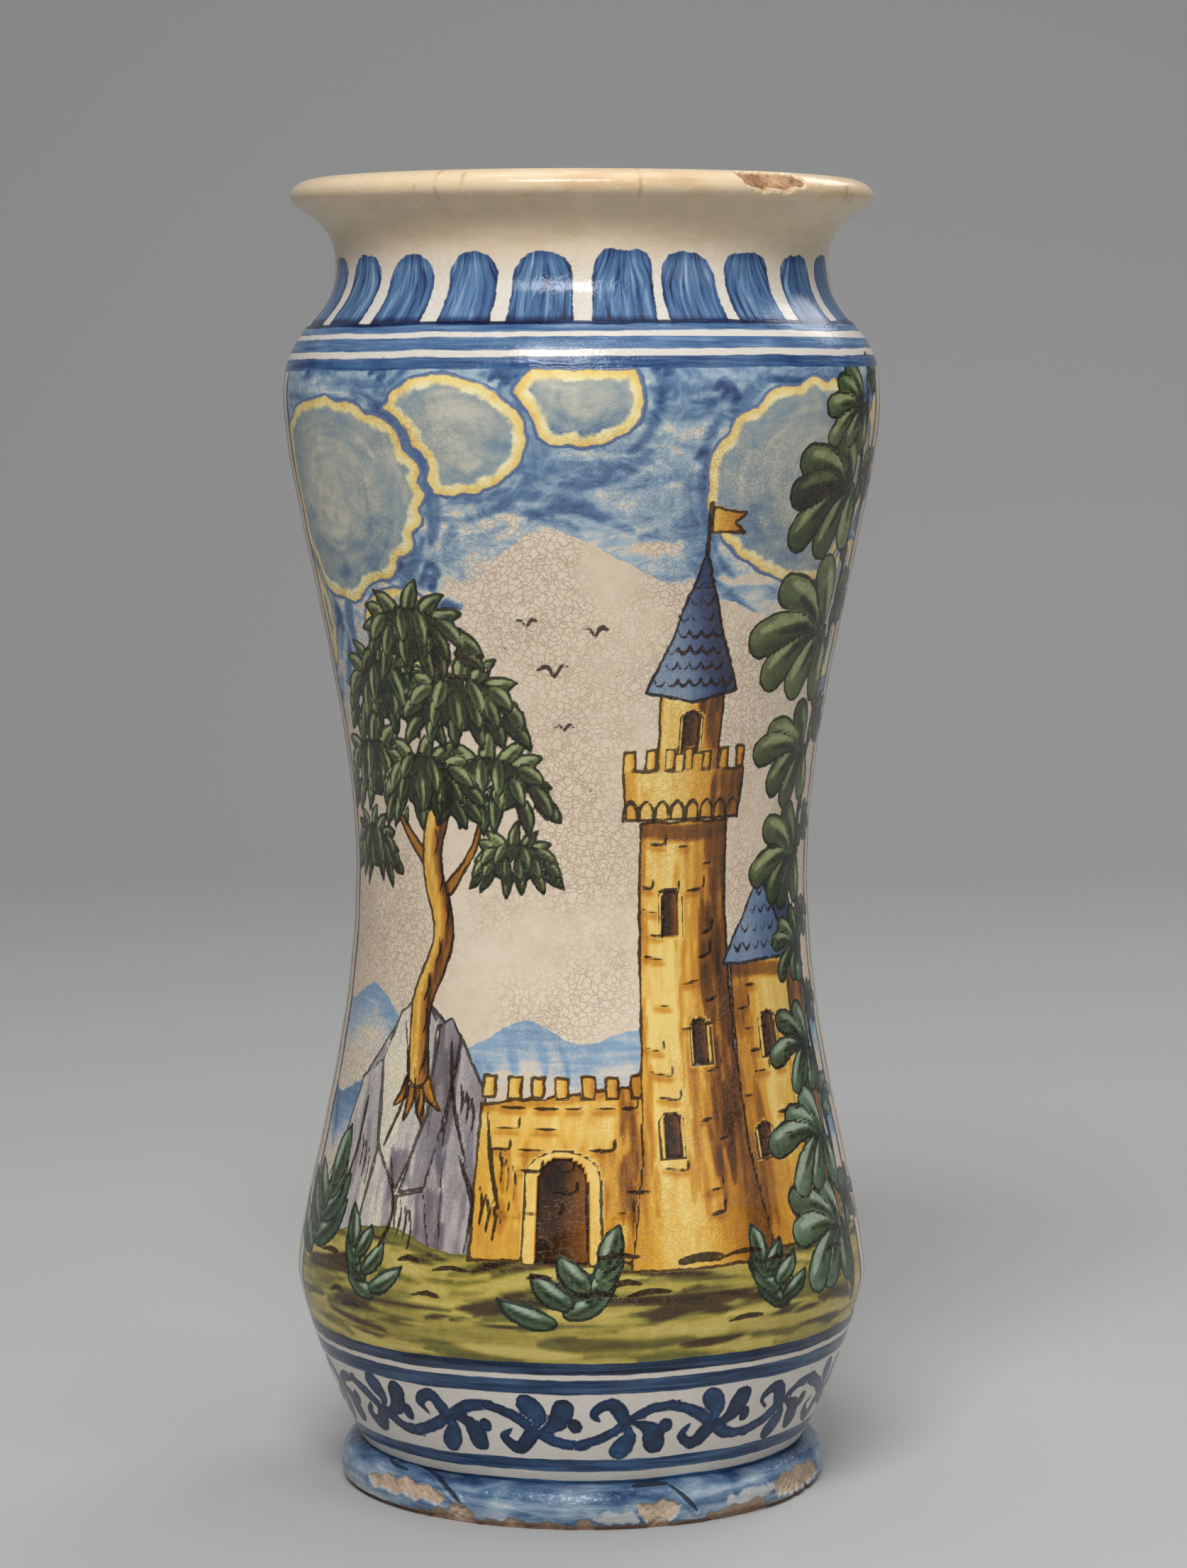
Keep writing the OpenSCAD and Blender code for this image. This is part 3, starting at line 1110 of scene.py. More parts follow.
@dataclass(frozen=True)
class PaintedGlaze(TinGlaze):
    """Tin glaze of the body, with the landscape, its bands and the lower border.

    Each line round the jar has a bottom, a top and a tone.
    """

    whiteness: float = 0.8
    upper_lines: tuple[Place, ...] = ((257.2, 259.8, 0.66), (261.3, 264.1, 0.54))
    lower_lines: tuple[Place, ...] = ((5.0, 10.6, 0.66), (12.9, 16.0, 0.72), (32.3, 35.8, 0.78), (37.0, 39.9, 0.88))
    cloud_line: Colour = paint(66, 96, 146)
    earth_line: Colour = paint(60, 52, 24)
    scroll_line: Colour = paint(6, 26, 62)
    worn: float = 0.45
    green_rise: Pair = (150, 90)

    @staticmethod
    def bands(surface: Surface, lines: Sequence[Place], stops: Stops = COBALT) -> None:
        """Paints level cobalt lines round the jar.

        Args:
            surface: the glaze so far.
            lines: bottom, top and tone of each line.
            stops: the blue, from thin to thick.
        """
        sheet = surface.sheet
        level = sheet.height - sheet.right * 0.009 + (sheet.noise(0.035) - 0.5) * 1.2
        level += (sheet.noise(0.45, sheet.stretched(0.45, 1.0)) - 0.5) * 0.55
        streak = sheet.noise(0.9, sheet.stretched(0.06, 1.4), detail=3.0, rough=0.6)
        pooled = sheet.noise(0.12)
        for low, high, tone in lines:
            share = level.eased(low - 0.14, low + 0.14) * level.eased(high + 0.14, high - 0.14)
            depth = tone - 0.55 + streak * 0.75 + pooled * 0.35
            surface.wash(sheet.ramp(depth, stops), share * (0.86 + streak * 0.2))
            surface.relief += share * 0.05

    def decorate(self, surface: Surface) -> None:
        """Paints the landscape, the scroll and the level lines.

        Args:
            surface: the glaze so far.
        """
        sheet = surface.sheet
        level = sheet.noise(0.55, sheet.stretched(0.1, 1.2), detail=3.0, rough=0.6)
        upright = sheet.noise(0.55, sheet.stretched(1.2, 0.12), detail=3.0, rough=0.6)
        mottle = sheet.noise(0.28, detail=5.0, rough=0.62)
        swirl = sheet.noise(0.13, sheet.stretched(0.75, 1.4), detail=6.0, rough=0.7, twist=1.4)
        ragged = (sheet.noise(0.75) - 0.5) * 0.7 + (sheet.noise(0.16, detail=1.0) - 0.5) * 1.1
        broken = sheet.noise(0.22)

        def lay(pigment: str, stops: Stops, bristle: Value, streaks: float, blotch: float,
                edge_wander: float = 1.0, thin: float = 0.0, low_stops: Stops = ()) -> Value:
            """Lays one pigment.

            Args:
                pigment: name of the coat.
                stops: its colours, from thin to thick.
                bristle: noise that streaks it.
                streaks: how much it is streaked.
                blotch: how much it is clouded.
                edge_wander: how ragged its edge is.
                thin: tone at which it covers, if it thins out.
                low_stops: its colours near the ground, if others.

            Returns:
                The distance from its edge.
            """
            edge = sheet.field(f"{pigment}_edge") + ragged * edge_wander
            tone = sheet.field(f"{pigment}_tone") + (bristle - 0.5) * streaks + (mottle - 0.5) * blotch
            share = covered(edge) * 0.97
            if thin:
                share = share * tone.eased(-0.04, thin)
            colour = sheet.ramp(tone, stops)
            if low_stops:
                colour = sheet.mix(colour, sheet.ramp(tone, low_stops), sheet.height.eased(*self.green_rise))
            surface.wash(colour, share)
            surface.relief += share * 0.05
            return edge

        def outline(edge: Value, colour: Colour, width: float, strength: float) -> None:
            """Draws a broken ink line just inside an edge."""
            reach = (edge + width * 0.5).size() - (broken - 0.42) * width
            surface.wash(colour, covered(reach - width * 0.5, 0.14) * strength)

        lay("sky", SKY, swirl, 1.15, 0.35, 1.6, thin=0.2)
        cloud = lay("cloud", CLOUD, swirl, 0.85, 0.45)
        band = (cloud + 0.45).eased(0.14, -0.14) * (cloud + 2.7 + (mottle - 0.5) * 3.4).eased(-0.7, 0.4)
        paler = (cloud + 0.6) * -0.22 + (mottle - 0.5) * 1.6 + 0.16
        surface.wash(sheet.ramp(paler, CLOUD_RIM), band * 0.95)
        surface.relief += band * 0.1
        outline(cloud, self.cloud_line, 0.7, 0.8)
        lay("hill", COBALT, level, 0.35, 0.25, thin=0.3)
        pale = lay("pale", STONE, upright, 0.25, 0.18)
        outline(pale, INK, 0.55, 0.85)
        earth = lay("earth", EARTH, level, 0.45, 0.4, 1.2)
        outline(earth, self.earth_line, 0.45, 0.45)
        gold = lay("gold", GOLD, upright, 0.3, 0.22)
        outline(gold, INK, 0.6, 0.9)
        roof = lay("roof", ROOF, upright, 0.25, 0.25)
        outline(roof, INK, 0.6, 0.92)
        leaf = lay("leaf", OLIVE, swirl, 0.55, 0.4, low_stops=GREEN)
        outline(leaf, LEAF_INK, 0.6, 0.88)
        ink = sheet.field("ink_edge") + ragged * 0.7
        surface.wash(INK, covered(ink, 0.14) * 0.94)
        scroll = lay("scroll", BORDER_BLUE, swirl, 0.9, 0.5)
        outline(scroll, self.scroll_line, 0.6, 0.5)
        self.bands(surface, self.upper_lines)
        self.bands(surface, self.lower_lines, BORDER_BLUE)
        surface.wash(self.crackle, surface.cracks * self.crackle_strength * self.worn)


@dataclass(frozen=True)
class CollarGlaze(PaintedGlaze):
    """Tin glaze of the collar, with a row of brushed cobalt tongues."""

    cell: float = 3.4
    crackle_strength: float = 0.45
    # Rim cream: partly the rim glaze's own warmer colour, partly a painted warm shade under the rim.
    rim: Colour = paint(222, 198, 160)
    rim_warmth_and_shade_rise: Pair = (274, 294)
    stain: Colour = paint(190, 150, 98)
    stain_rise: Pair = (274, 295)
    craze: Colour = paint(150, 116, 82)
    section: Colour = paint(184, 148, 110)
    foot_lines: tuple[Place, ...] = ((265.2, 266.9, 0.54), (266.7, 267.5, 0.94))

    def decorate(self, surface: Surface) -> None:
        """Brushes the tongues, warms the rim with a cream that also paints a warm shade under it, and chips the rim.

        Args:
            surface: the glaze so far.
        """
        sheet = surface.sheet
        # Warmer cream rising over the flare to the lip: the rim's own warmer glaze, plus painted warm shade under
        # the rim.
        surface.wash(self.rim, sheet.height.eased(*self.rim_warmth_and_shade_rise) * 0.75)
        patches = sheet.noise(0.1, sheet.stretched(0.5, 1.6), detail=4.0, rough=0.62).eased(0.5, 0.72)
        surface.wash(self.stain, patches * sheet.height.eased(*self.stain_rise) * 0.45)
        edge, across = sheet.field("tongue_edge"), sheet.field("tongue_side")
        along, which = sheet.field("tongue_along"), sheet.field("tongue_which")
        drawn = across * (1.0 + along.eased(0.5, -0.1) * 0.9)
        bristles = sheet.node("ShaderNodeCombineXYZ", {}, {"X": drawn * 3.0, "Y": along * 0.9, "Z": which * 7.0})
        streak = sheet.noise(1.0, sheet.take(bristles, 0), detail=4.0, rough=0.62, twist=0.8)
        hairs = sheet.node("ShaderNodeCombineXYZ", {}, {"X": drawn * 7.0, "Y": along * 1.3, "Z": which * 5.0})
        hair = sheet.noise(1.0, sheet.take(hairs, 0), detail=1.0, twist=0.5)
        ragged = (sheet.noise(0.8) - 0.5) * 0.8 + (sheet.noise(0.2, detail=1.0) - 0.5) * 0.9
        edge = edge + ragged * (1.0 + along.eased(0.2, 0.0) * 0.5)
        pool = along.eased(0.84, 0.98) * 0.6 + across.size().eased(0.78, 1.0) * 0.26 + along.eased(0.18, 0.0) * 0.16
        tone = streak * 1.15 - 0.05 + pool + hair.eased(0.56, 0.74) * 0.34 - hair.eased(0.42, 0.26) * 0.2
        surface.wash(sheet.ramp(tone, COBALT), covered(edge, 0.18) * 0.97)
        surface.relief += covered(edge, 0.2) * (0.04 + streak * 0.05)
        self.bands(surface, self.foot_lines)
        surface.wash(self.craze, sheet.field("craze") * 0.55)
        surface.wash(self.section, sheet.field("chip"))


@dataclass(frozen=True)
class FootGlaze(PaintedGlaze):
    """Cobalt wash over the tin glaze of the foot."""

    section: Colour = paint(190, 184, 174)
    fissure: Colour = paint(24, 24, 32)
    thin_wash: Colour = paint(188, 190, 184)
    # Heights over which painted shade darkens the blue towards the groove.
    groove_shade_rise: Pair = (7.4, 10.0)
    depth: float = 0.0008

    def decorate(self, surface: Surface) -> None:
        """Washes the foot blue, darker towards the groove as a painted shade.

        Args:
            surface: the glaze so far.
        """
        sheet = surface.sheet
        streak = sheet.noise(0.34, sheet.stretched(0.2, 1.3), detail=5.0, rough=0.6, twist=0.5)
        cloud = sheet.noise(0.1, detail=3.0)
        ragged = (sheet.noise(0.4, detail=3.0, rough=0.6) - 0.5) * 4.0
        # The last term is painted shade: the blue darkens towards the groove above the foot.
        tone = streak * 1.25 + cloud * 0.6 - 0.53 + sheet.height.eased(*self.groove_shade_rise) * 0.28
        surface.wash(sheet.ramp(tone, FOOT_BLUE), 0.72 + cloud * 0.6)
        thin = covered(sheet.field("pale_edge") + ragged, 0.5) * (0.4 + streak * 0.8)
        surface.wash(self.thin_wash, thin)
        seam = covered(sheet.field("seam_edge") + ragged * 0.12, 0.2)
        surface.wash(self.fissure, seam * 0.85)
        surface.wash(self.section, sheet.field("chip"))
        bubbles = sheet.noise(0.9)
        surface.relief += streak * 0.45 + sheet.noise(0.35) * 0.45 + bubbles * 0.2 - seam * 0.5


@dataclass(frozen=True)
class LiningGlaze(TinGlaze):
    """Thin, uneven glaze of the inside."""

    ring: Colour = paint(190, 160, 122)

    def decorate(self, surface: Surface) -> None:
        """Stains the throwing rings.

        Args:
            surface: the glaze so far.
        """
        sheet = surface.sheet
        rings = sheet.noise(0.25, sheet.stretched(0.05, 1.0), detail=3.0)
        surface.wash(self.ring, rings.eased(0.5, 0.8) * 0.6)
        surface.relief += rings * 0.4
        surface.rough += 0.08


@dataclass(frozen=True)
class BareClay:
    """Fired clay where it shows: under the foot, in chips and along seams."""

    pale: Colour = paint(206, 180, 154)
    dark: Colour = paint(162, 130, 104)
    grit: Colour = paint(88, 60, 40)
    depth: float = 0.0004
    soil: Colour = paint(116, 80, 60)
    soiled: float = 0.0
    soil_fade: Pair = (3.4, 1.2)

    def dress(self, name: str) -> bpy.types.Material:
        """Builds the finish.

        Args:
            name: the material's name.

        Returns:
            The finished material.
        """
        sheet = Sheet(name)
        grain = sheet.noise(0.9, detail=5.0, rough=0.65)
        broad = sheet.noise(0.12, detail=3.0)
        colour = sheet.mix(self.dark, self.pale, (grain * 0.6 + broad * 0.6).eased(0.35, 0.85))
        grit = sheet.noise(2.4)
        colour = sheet.mix(colour, self.grit, grit.eased(0.64, 0.74) * 0.5)
        if self.soiled:
            colour = sheet.mix(colour, self.soil, (sheet.height + broad * 2.0).eased(*self.soil_fade) * self.soiled)
        return sheet.finish(colour, 0.82 + grain * 0.12, grain * 0.7 + grit * 0.3, self.depth)


class Landscape(Canvas):
    """A made-up hill landscape in the colours of tin-glazed ware, painted round the front of the body."""

    PIGMENTS = ("sky", "cloud", "hill", "pale", "earth", "gold", "roof", "leaf", "ink", "scroll")
    GROUND_Z = 39.8
    SKY_Z = 257.6
    EDGE = 80.0
    RULE_GAP = 5.5
    BORDER_Z = 24.2
    CLOUDS = ((0, 251, 13), (92, 240, 22), (-97, 238, 22), (-26, 243, 16), (52, 232, 26), (-60, 229, 26),
              (-90, 202, 19), (79, 203, 17), (-44, 200, 12))
    CREST = ((-106, 60), (-90, 63), (-74, 61), (-60, 64), (-44, 67), (-28, 63), (-12, 66), (4, 72), (22, 74),
             (40, 72), (58, 70), (72, 64), (88, 61), (106, 60))

    def __init__(self, turning: Turning) -> None:
        """Prepares the coats and the painter's hand.

        Args:
            turning: the piece that is painted.
        """
        super().__init__(turning, self.PIGMENTS)
        self.hand = np.random.default_rng(41)

    def paint(self) -> None:
        """Paints from the far sky to the near plants."""
        self.sky()
        self.clouds()
        self.hills()
        self.crag()
        self.wall()
        self.square_keep()
        self.tower()
        self.ground()
        self.tree()
        self.plants()
        self.garland()
        self.birds()
        self.border()
        self.trim(("sky", "cloud", "hill", "earth"), self.EDGE)
        self.keep()

    def shake(self, size: float) -> float:
        """Gives a small slip of the hand."""
        return float(self.hand.normal(0.0, size))

    def pick(self, low: float, high: float) -> float:
        """Draws a number between two others."""
        return float(self.hand.uniform(low, high))

    def pen(self, points: Line, width: float) -> None:
        """Draws an ink line that thins towards both ends."""
        self.stroke("ink", points, width, taper=Taper.LINE)

    def sky(self) -> None:
        """Washes in the sky and works level and curling strokes into it."""
        low = [(104, 180), (88, 178), (70, 186), (54, 198), (36, 206), (16, 212), (-6, 222), (-22, 212), (-38, 188),
               (-60, 184), (-82, 176), (-104, 182)]
        self.fill("sky", [(-104, 258.4), (104, 258.4), *eased(low)],
                  lambda x, y: 0.1 + 0.16 * smoothstep(200, 252, y))
        for _ in range(190):
            drop = self.hand.random() ** 1.6
            z = self.SKY_Z - 0.6 - drop * 58.0
            s, run = self.pick(-100, 100), self.pick(6, 18)
            bow = self.shake(1.4)
            tone = 0.42 - drop * 0.32 + self.shake(0.2)
            points = [(s - run, z + self.shake(0.8)), (s, z + bow), (s + run, z + self.shake(0.8))]
            self.shade("sky", points, self.pick(1.4, 4.4), tone, strength=0.8, soft=0.6)
        for s, z, size in self.CLOUDS:
            for _ in range(18):
                reach = size + self.pick(0.1, 1.0) ** 1.5 * 8.0
                turn = self.pick(0, tau)
                sweep = self.pick(7.0, 20.0) / reach
                points = self.curl(s, z, reach, turn, sweep)
                self.shade("sky", points, self.pick(1.4, 4.0), self.pick(0.4, 0.74), strength=0.75, soft=0.8)
            for _ in range(5):
                turn = self.pick(-0.2, pi + 0.2)
                reach = size + self.pick(1.5, 6.0)
                a, b = s + reach * cos(turn), z + reach * sin(turn)
                self.shade("sky", [(a - 1.8, b), (a, b + 1.6), (a + 1.6, b), (a + 0.4, b - 1.2)], 2.2, 0.86,
                           strength=0.75, soft=0.4)

    @staticmethod
    def curl(s: float, z: float, reach: float, turn: float, sweep: float, squeeze: float = 1.0) -> list[Pair]:
        """Gives four places along an arc round a cloud's middle."""
        return [(s + reach * cos(turn + sweep * t), z + reach * squeeze * sin(turn + sweep * t))
                for t in (0.0, 0.33, 0.66, 1.0)]

    def puff(self, s: float, z: float, size: float) -> None:
        """Paints one billow of cloud, with strokes that follow its edge.

        Args:
            s: its place round the jar.
            z: its place up the jar.
            size: its radius.
        """
        bumps, phase = round(size * 0.5) + 5, self.pick(0, tau)
        squeeze = self.pick(0.86, 0.97)
        ring = []
        for way in np.linspace(0, tau, bumps * 7, endpoint=False):
            swing = bumps * way / 2 + phase + 1.3 * sin(2 * way + phase) + 0.5 * sin(5 * way)
            deep = 0.012 + 0.03 * (1 + sin(way + 3 * phase))
            reach = size * (0.96 + deep * abs(sin(swing)) + 0.04 * sin(2 * way + 2 * phase)
                            + 0.025 * sin(3 * way + phase))
            ring.append((s + reach * cos(way), min(z + reach * squeeze * sin(way), self.SKY_Z)))
        self.reserve("cloud", ring, 1.0)
        self.fill("cloud", ring, lambda x, y: 0.16 + 0.32 * smoothstep(
            0.15, 0.9, np.hypot(x - s, (y - z) / squeeze) / size))
        for _ in range(round(size * 5)):
            out = self.hand.random() ** 0.6 * 0.9
            start, sweep = self.pick(0, tau), self.pick(5.0, 13.0) / (size * max(out, 0.3))
            points = self.curl(s, z, size * out, start, sweep, squeeze)
            low = 0.5 - 0.5 * sin(start + sweep / 2)
            tone = 0.12 + 0.3 * out + 0.22 * low * out + self.shake(0.16)
            self.shade("cloud", points, self.pick(0.8, 2.8), tone, strength=0.6, soft=0.45)
        for _ in range(round(size * 0.5)):
            start, out = self.pick(3.4, 6.0), self.pick(0.5, 0.85)
            a, b = s + size * out * cos(start), z + size * squeeze * out * sin(start)
            self.shade("cloud", [(a - 3, b - 0.6), (a, b + 0.5), (a + 3, b)], self.pick(2.0, 4.0), 0.8,
                       strength=0.5, soft=1.2)

    def clouds(self) -> None:
        """Heaps the billows in two banks."""
        for s, z, size in self.CLOUDS:
            self.puff(s, z, size)

    def hills(self) -> None:
        """Washes in two ranges of far hills that thin towards their feet."""
        ranges = [([(-106, 112), (-92, 121), (-78, 114), (-62, 119), (-46, 110), (-30, 107), (-14, 114), (0, 109),
                    (14, 112), (50, 108), (66, 118), (80, 111), (94, 119), (106, 112)], 0.27),
                  ([(-106, 92), (-90, 100), (-76, 93), (-60, 97), (-30, 90), (30, 92), (62, 100), (76, 93), (90, 99),
                    (106, 92)], 0.44)]
        for ridge, dark in ranges:
            line = eased(ridge)

            def thinning(x: Array, y: Array) -> Array:
                """Thins the wash below the ridge."""
                return dark * smoothstep(17.0, 1.0, np.interp(x, line[:, 0], line[:, 1]) - y)

            self.fill("hill", [*line, (106, 66), (-106, 66)], thinning)
            for _ in range(40):
                s = self.pick(-100, 100)
                top = float(np.interp(s, line[:, 0], line[:, 1])) - self.pick(0.5, 4.0)
                lean = self.pick(2, 6)
                self.shade("hill", [(s, top), (s + lean * 0.6, top - 4), (s + lean, top - 9)],
                           self.pick(1.2, 2.6), dark * self.pick(0.5, 1.5), strength=0.6)

    def crag(self) -> None:
        """Paints a pale crag in facets, with grey shade and ink cracks."""
        facets = [([(-70, 56), (-74, 70), (-67, 84), (-63, 98), (-55, 103), (-52, 84), (-56, 56)], 0.1, 0.4),
                  ([(-16, 56), (-14, 72), (-19, 86), (-23, 99), (-30, 110), (-33, 90), (-31, 56)], 0.42, 0.78),
                  ([(-55, 103), (-50, 114), (-42, 119), (-37, 112), (-38, 92), (-44, 74), (-52, 84)], 0.04, 0.3),
                  ([(-37, 112), (-33, 114), (-30, 110), (-33, 90), (-36, 76), (-44, 74), (-38, 92)], 0.36, 0.7),
                  ([(-56, 56), (-52, 84), (-44, 74), (-40, 56)], 0.16, 0.52),
                  ([(-44, 74), (-36, 76), (-31, 56), (-42, 56)], 0.2, 0.6)]
        self.fill("pale", [(-70, 56), (-72, 70), (-63, 97), (-50, 113), (-42, 118), (-31, 110), (-19, 86), (-15, 72),
                           (-17, 56)], 0.5)
        for ring, light, dark in facets:
            left, right = min(p[0] for p in ring), max(p[0] for p in ring)
            low, high = min(p[1] for p in ring), max(p[1] for p in ring)
            self.fill("pale", ring, lambda x, y, a=left, b=right, c=light, d=dark:
                      c + (d - c) * smoothstep(a, b, x + (90 - y) * 0.12))
            middle = (left + right) / 2
            self.rub("pale", middle, right, low, high, dark + 0.14, 14, 12.0, 1.8, 0.7)
            self.rub("pale", left, middle, low, high, light - 0.06, 10, 12.0, 2.2, 0.7)
        cracks = [((-48, 112), (-45, 98), (-50, 84)), ((-33, 110), (-31, 96), (-26, 82)),
                  ((-59, 94), (-60, 82), (-64, 70)), ((-22, 95), (-20, 82), (-17, 70)),
                  ((-47, 82), (-44, 70), (-47, 62)), ((-28, 84), (-24, 74), (-25, 63))]
        for line in cracks:
            self.pen(line, 1.1)
            for k in range(3):
                s, z = line[1][0] + 1.6 * (k + 1), line[1][1] - 1.5 * k
                self.pen([(s, z + 4), (s + 0.9, z), (s + 0.4, z - 4.5)], 0.7)

    def courses(self, low: Pair, high: Pair, sag: float, rows: int) -> None:
        """Draws broken courses of stone across a wall.

        Args:
            low: lower left corner of the wall.
            high: upper right corner.
            sag: how far a course hangs in its middle.
            rows: courses.
        """
        for k in range(rows):
            z = low[1] + (high[1] - low[1]) * (k + 0.6) / rows

            def hang(x: float) -> float:
                """Gives the course's height at a place."""
                return z - sag * (1 - ((x - low[0]) / (high[0] - low[0]) * 2 - 1) ** 2)

            s = low[0] + self.pick(0, 4)
            while s < high[0] - 3:
                end = min(s + self.pick(3.0, 6.5), high[0] - 0.5)
                if self.hand.random() < 0.58:
                    middle = (s + end) / 2
                    line = [(s, hang(s)), (middle, hang(middle)), (end, hang(end))]
                    self.pen(line, 0.72)
                    self.shade("gold", [(a, b - 0.9) for a, b in line], 1.6, 0.66, strength=0.6)
                    if self.hand.random() < 0.6:
                        self.pen([(end, hang(end)), (end + 0.1, hang(end) + 2.6)], 0.7)
                s = end + self.pick(1.0, 4.0)

    def rub(self, pigment: str, left: float, right: float, low: float, high: float, tone: float, count: int,
            run: float = 14.0, width: float = 2.0, strength: float = 0.6) -> None:
        """Works upright strokes into part of a shape.

        Args:
            pigment: name of the coat.
            left: left side of the part.
            right: right side.
            low: lowest place.
            high: highest place.
            tone: darkness of the strokes.
            count: how many.
            run: their length.
            width: their width.
            strength: how much they cover.
        """
        for _ in range(count):
            s, z = self.pick(left, right), self.pick(low, high - run * 0.4)
            end = min(z + run * self.pick(0.6, 1.2), high)
            self.shade(pigment, [(s, z), (s + self.shake(0.3), (z + end) / 2), (s + self.shake(0.4), end)],
                       width * self.pick(0.5, 1.2), tone + self.shake(0.06), strength=strength, soft=0.3)

    def rub_gold(self, *patches: Sequence[float]) -> None:
        """Rubs patches of ochre, each given as rub takes it after the pigment."""
        for patch in patches:
            self.rub("gold", *patch)

    def merlons(self, left: float, right: float, z: float, count: int, tone: float) -> None:
        """Sets a row of merlons on a wall.

        Args:
            left: where the row starts.
            right: where it ends.
            z: top of the wall.
            count: merlons.
            tone: darkness of the first.
        """
        pitch = (right - left) / count
        for k in range(count):
            s = left + pitch * k + self.shake(0.2)
            shade = tone + 0.34 * (k / max(count - 1, 1)) ** 2
            top = z + 4.6 + self.shake(0.2)
            self.fill("gold", [(s, z - 0.5), (s, top), (s + pitch * 0.62, top), (s + pitch * 0.62, z - 0.5)],
                      shade + self.shake(0.03))
            self.shade("gold", [(s + pitch * 0.5, z), (s + pitch * 0.5, z + 4)], 1.4, shade + 0.35)

    def opening(self, s: float, z: float, wide: float, tall: float) -> None:
        """Paints a dark, round-headed opening with a pale reveal.

        Args:
            s: its middle.
            z: its sill.
            wide: half its width.
            tall: its height.
        """
        arch = [(wide * cos(t), tall - wide + wide * sin(t)) for t in np.linspace(0, pi, 9)]
        ring = [(wide, 0.0)] + arch + [(-wide, 0.0)]
        self.fill("gold", [(s + x * 1.55, z - 0.6 + y * 1.1) for x, y in ring], 0.1)
        self.fill("gold", [(s + x, z + y) for x, y in ring],
                  lambda x, y: 0.99 - 0.24 * smoothstep(s - wide * 0.2, s + wide, x))

    def wall(self) -> None:
        """Paints the curtain wall that joins crag and tower."""
        self.fill("gold", [(-24, 62), (-24, 96), (17, 101), (17, 62)],
                  lambda x, y: 0.12 + 0.22 * smoothstep(100, 66, y) + 0.22 * smoothstep(0, 17, x))
        self.rub_gold((-23, 16, 64, 96, 0.04, 22, 10.0), (-22, 16, 63, 88, 0.58, 40, 9.0, 1.6),
                      (8, 17, 64, 100, 0.8, 18, 16.0))
        self.shade("gold", [(-24, 95), (-4, 97.4), (17, 99.6)], 2.4, 0.66, Taper.EVEN, 0.6)
        self.merlons(-23.5, 17, 97.5, 7, 0.12)
        self.courses((-23, 70), (16, 97), 0.0, 6)
        self.opening(-4, 62, 5.6, 23)

    def square_keep(self) -> None:
        """Paints the square keep with its roof."""
        self.fill("gold", [(40, 62), (40, 126), (63, 126), (63, 62)],
                  lambda x, y: 0.14 + 0.32 * smoothstep(54, 40, x) + 0.16 * smoothstep(110, 66, y))
        self.rub_gold((40, 47, 64, 124, 0.74, 26), (49, 62, 74, 124, 0.03, 22),
                      (48, 63, 64, 110, 0.5, 22, 12.0, 1.4))
        self.fill("gold", [(63, 62), (63, 126), (72, 122), (72, 62)], 0.62)
        self.rub_gold((64, 72, 64, 122, 0.9, 26))
        self.shade("gold", [(40, 124), (52, 123.4), (72, 121)], 3.4, 0.88, Taper.EVEN, 0.75)
        self.fill("roof", [(37, 125), (52, 145), (66, 125)], lambda x, y: 0.24 + 0.34 * smoothstep(46, 62, x))
        self.fill("roof", [(52, 145), (66, 125), (75, 121), (66, 140)], 0.72)
        for k in range(4):
            z = 128.5 + 4.0 * k
            for s in np.arange(41.5 + 3.0 * k, 60.5 - 2.8 * k, 3.4):
                self.pen([(s, z + 1.2), (s + 1.5, z - 0.5), (s + 3.0, z + 1.2)], 0.7)
        self.courses((41, 74), (62, 122), 0.0, 10)
        for hole in ((52, 104, 2.6, 10), (46, 82, 2.2, 8), (67.5, 100, 1.7, 9)):
            self.opening(*hole)

    def tower(self) -> None:
        """Paints the round tower, its turret and its scaled roof."""

        def rounded(left: float, right: float) -> ToneRule:
            """Shades a round wall that is lit from the left."""
            return lambda x, y: (0.12 + 0.26 * smoothstep(0.24, 0.0, (x - left) / (right - left))
                                 + 0.66 * smoothstep(0.38, 1.02, (x - left) / (right - left)))

        self.fill("gold", [(10, 60), (13.2, 84), (14.2, 110), (14.6, 158), (39.4, 158), (39.8, 110), (41, 84),
                           (44.5, 60)], rounded(12, 42))
        self.rub_gold((24, 34, 64, 156, 0.54, 44, 16.0, 1.8), (31, 40, 64, 156, 0.9, 60, 18.0),
                      (16, 24, 66, 154, 0.02, 46, 18.0), (13, 16.5, 64, 156, 0.6, 28, 16.0, 1.4))
        self.shade("gold", [(13, 156.5), (27, 155.2), (41, 156.5)], 4.0, 0.9, Taper.EVEN, 0.8, 0.6)
        self.fill("gold", [(18.5, 168), (18.5, 188), (35.5, 188), (35.5, 168)], rounded(18, 36))
        self.rub_gold((29, 35, 170, 187, 0.9, 18, 9.0, 1.6), (20, 25, 170, 187, 0.02, 12, 9.0, 1.6))
        self.opening(27, 173, 2.3, 9.5)
        self.fill("gold", [(11, 158), (10, 169.5), (44, 169.5), (43, 158)], rounded(10, 44))
        self.rub_gold((34, 43, 158, 169, 0.9, 18, 7.0, 1.6), (14, 23, 159, 169, 0.02, 14, 7.0, 1.6))
        self.merlons(10.2, 45.5, 169.5, 7, 0.12)
        for k in range(8):
            s = 12.2 + 4.1 * k
            self.stroke("ink", [(s - 1.8, 158.2), (s - 1.5, 161), (s, 162.4), (s + 1.5, 161), (s + 1.8, 158.2)],
                        0.85)
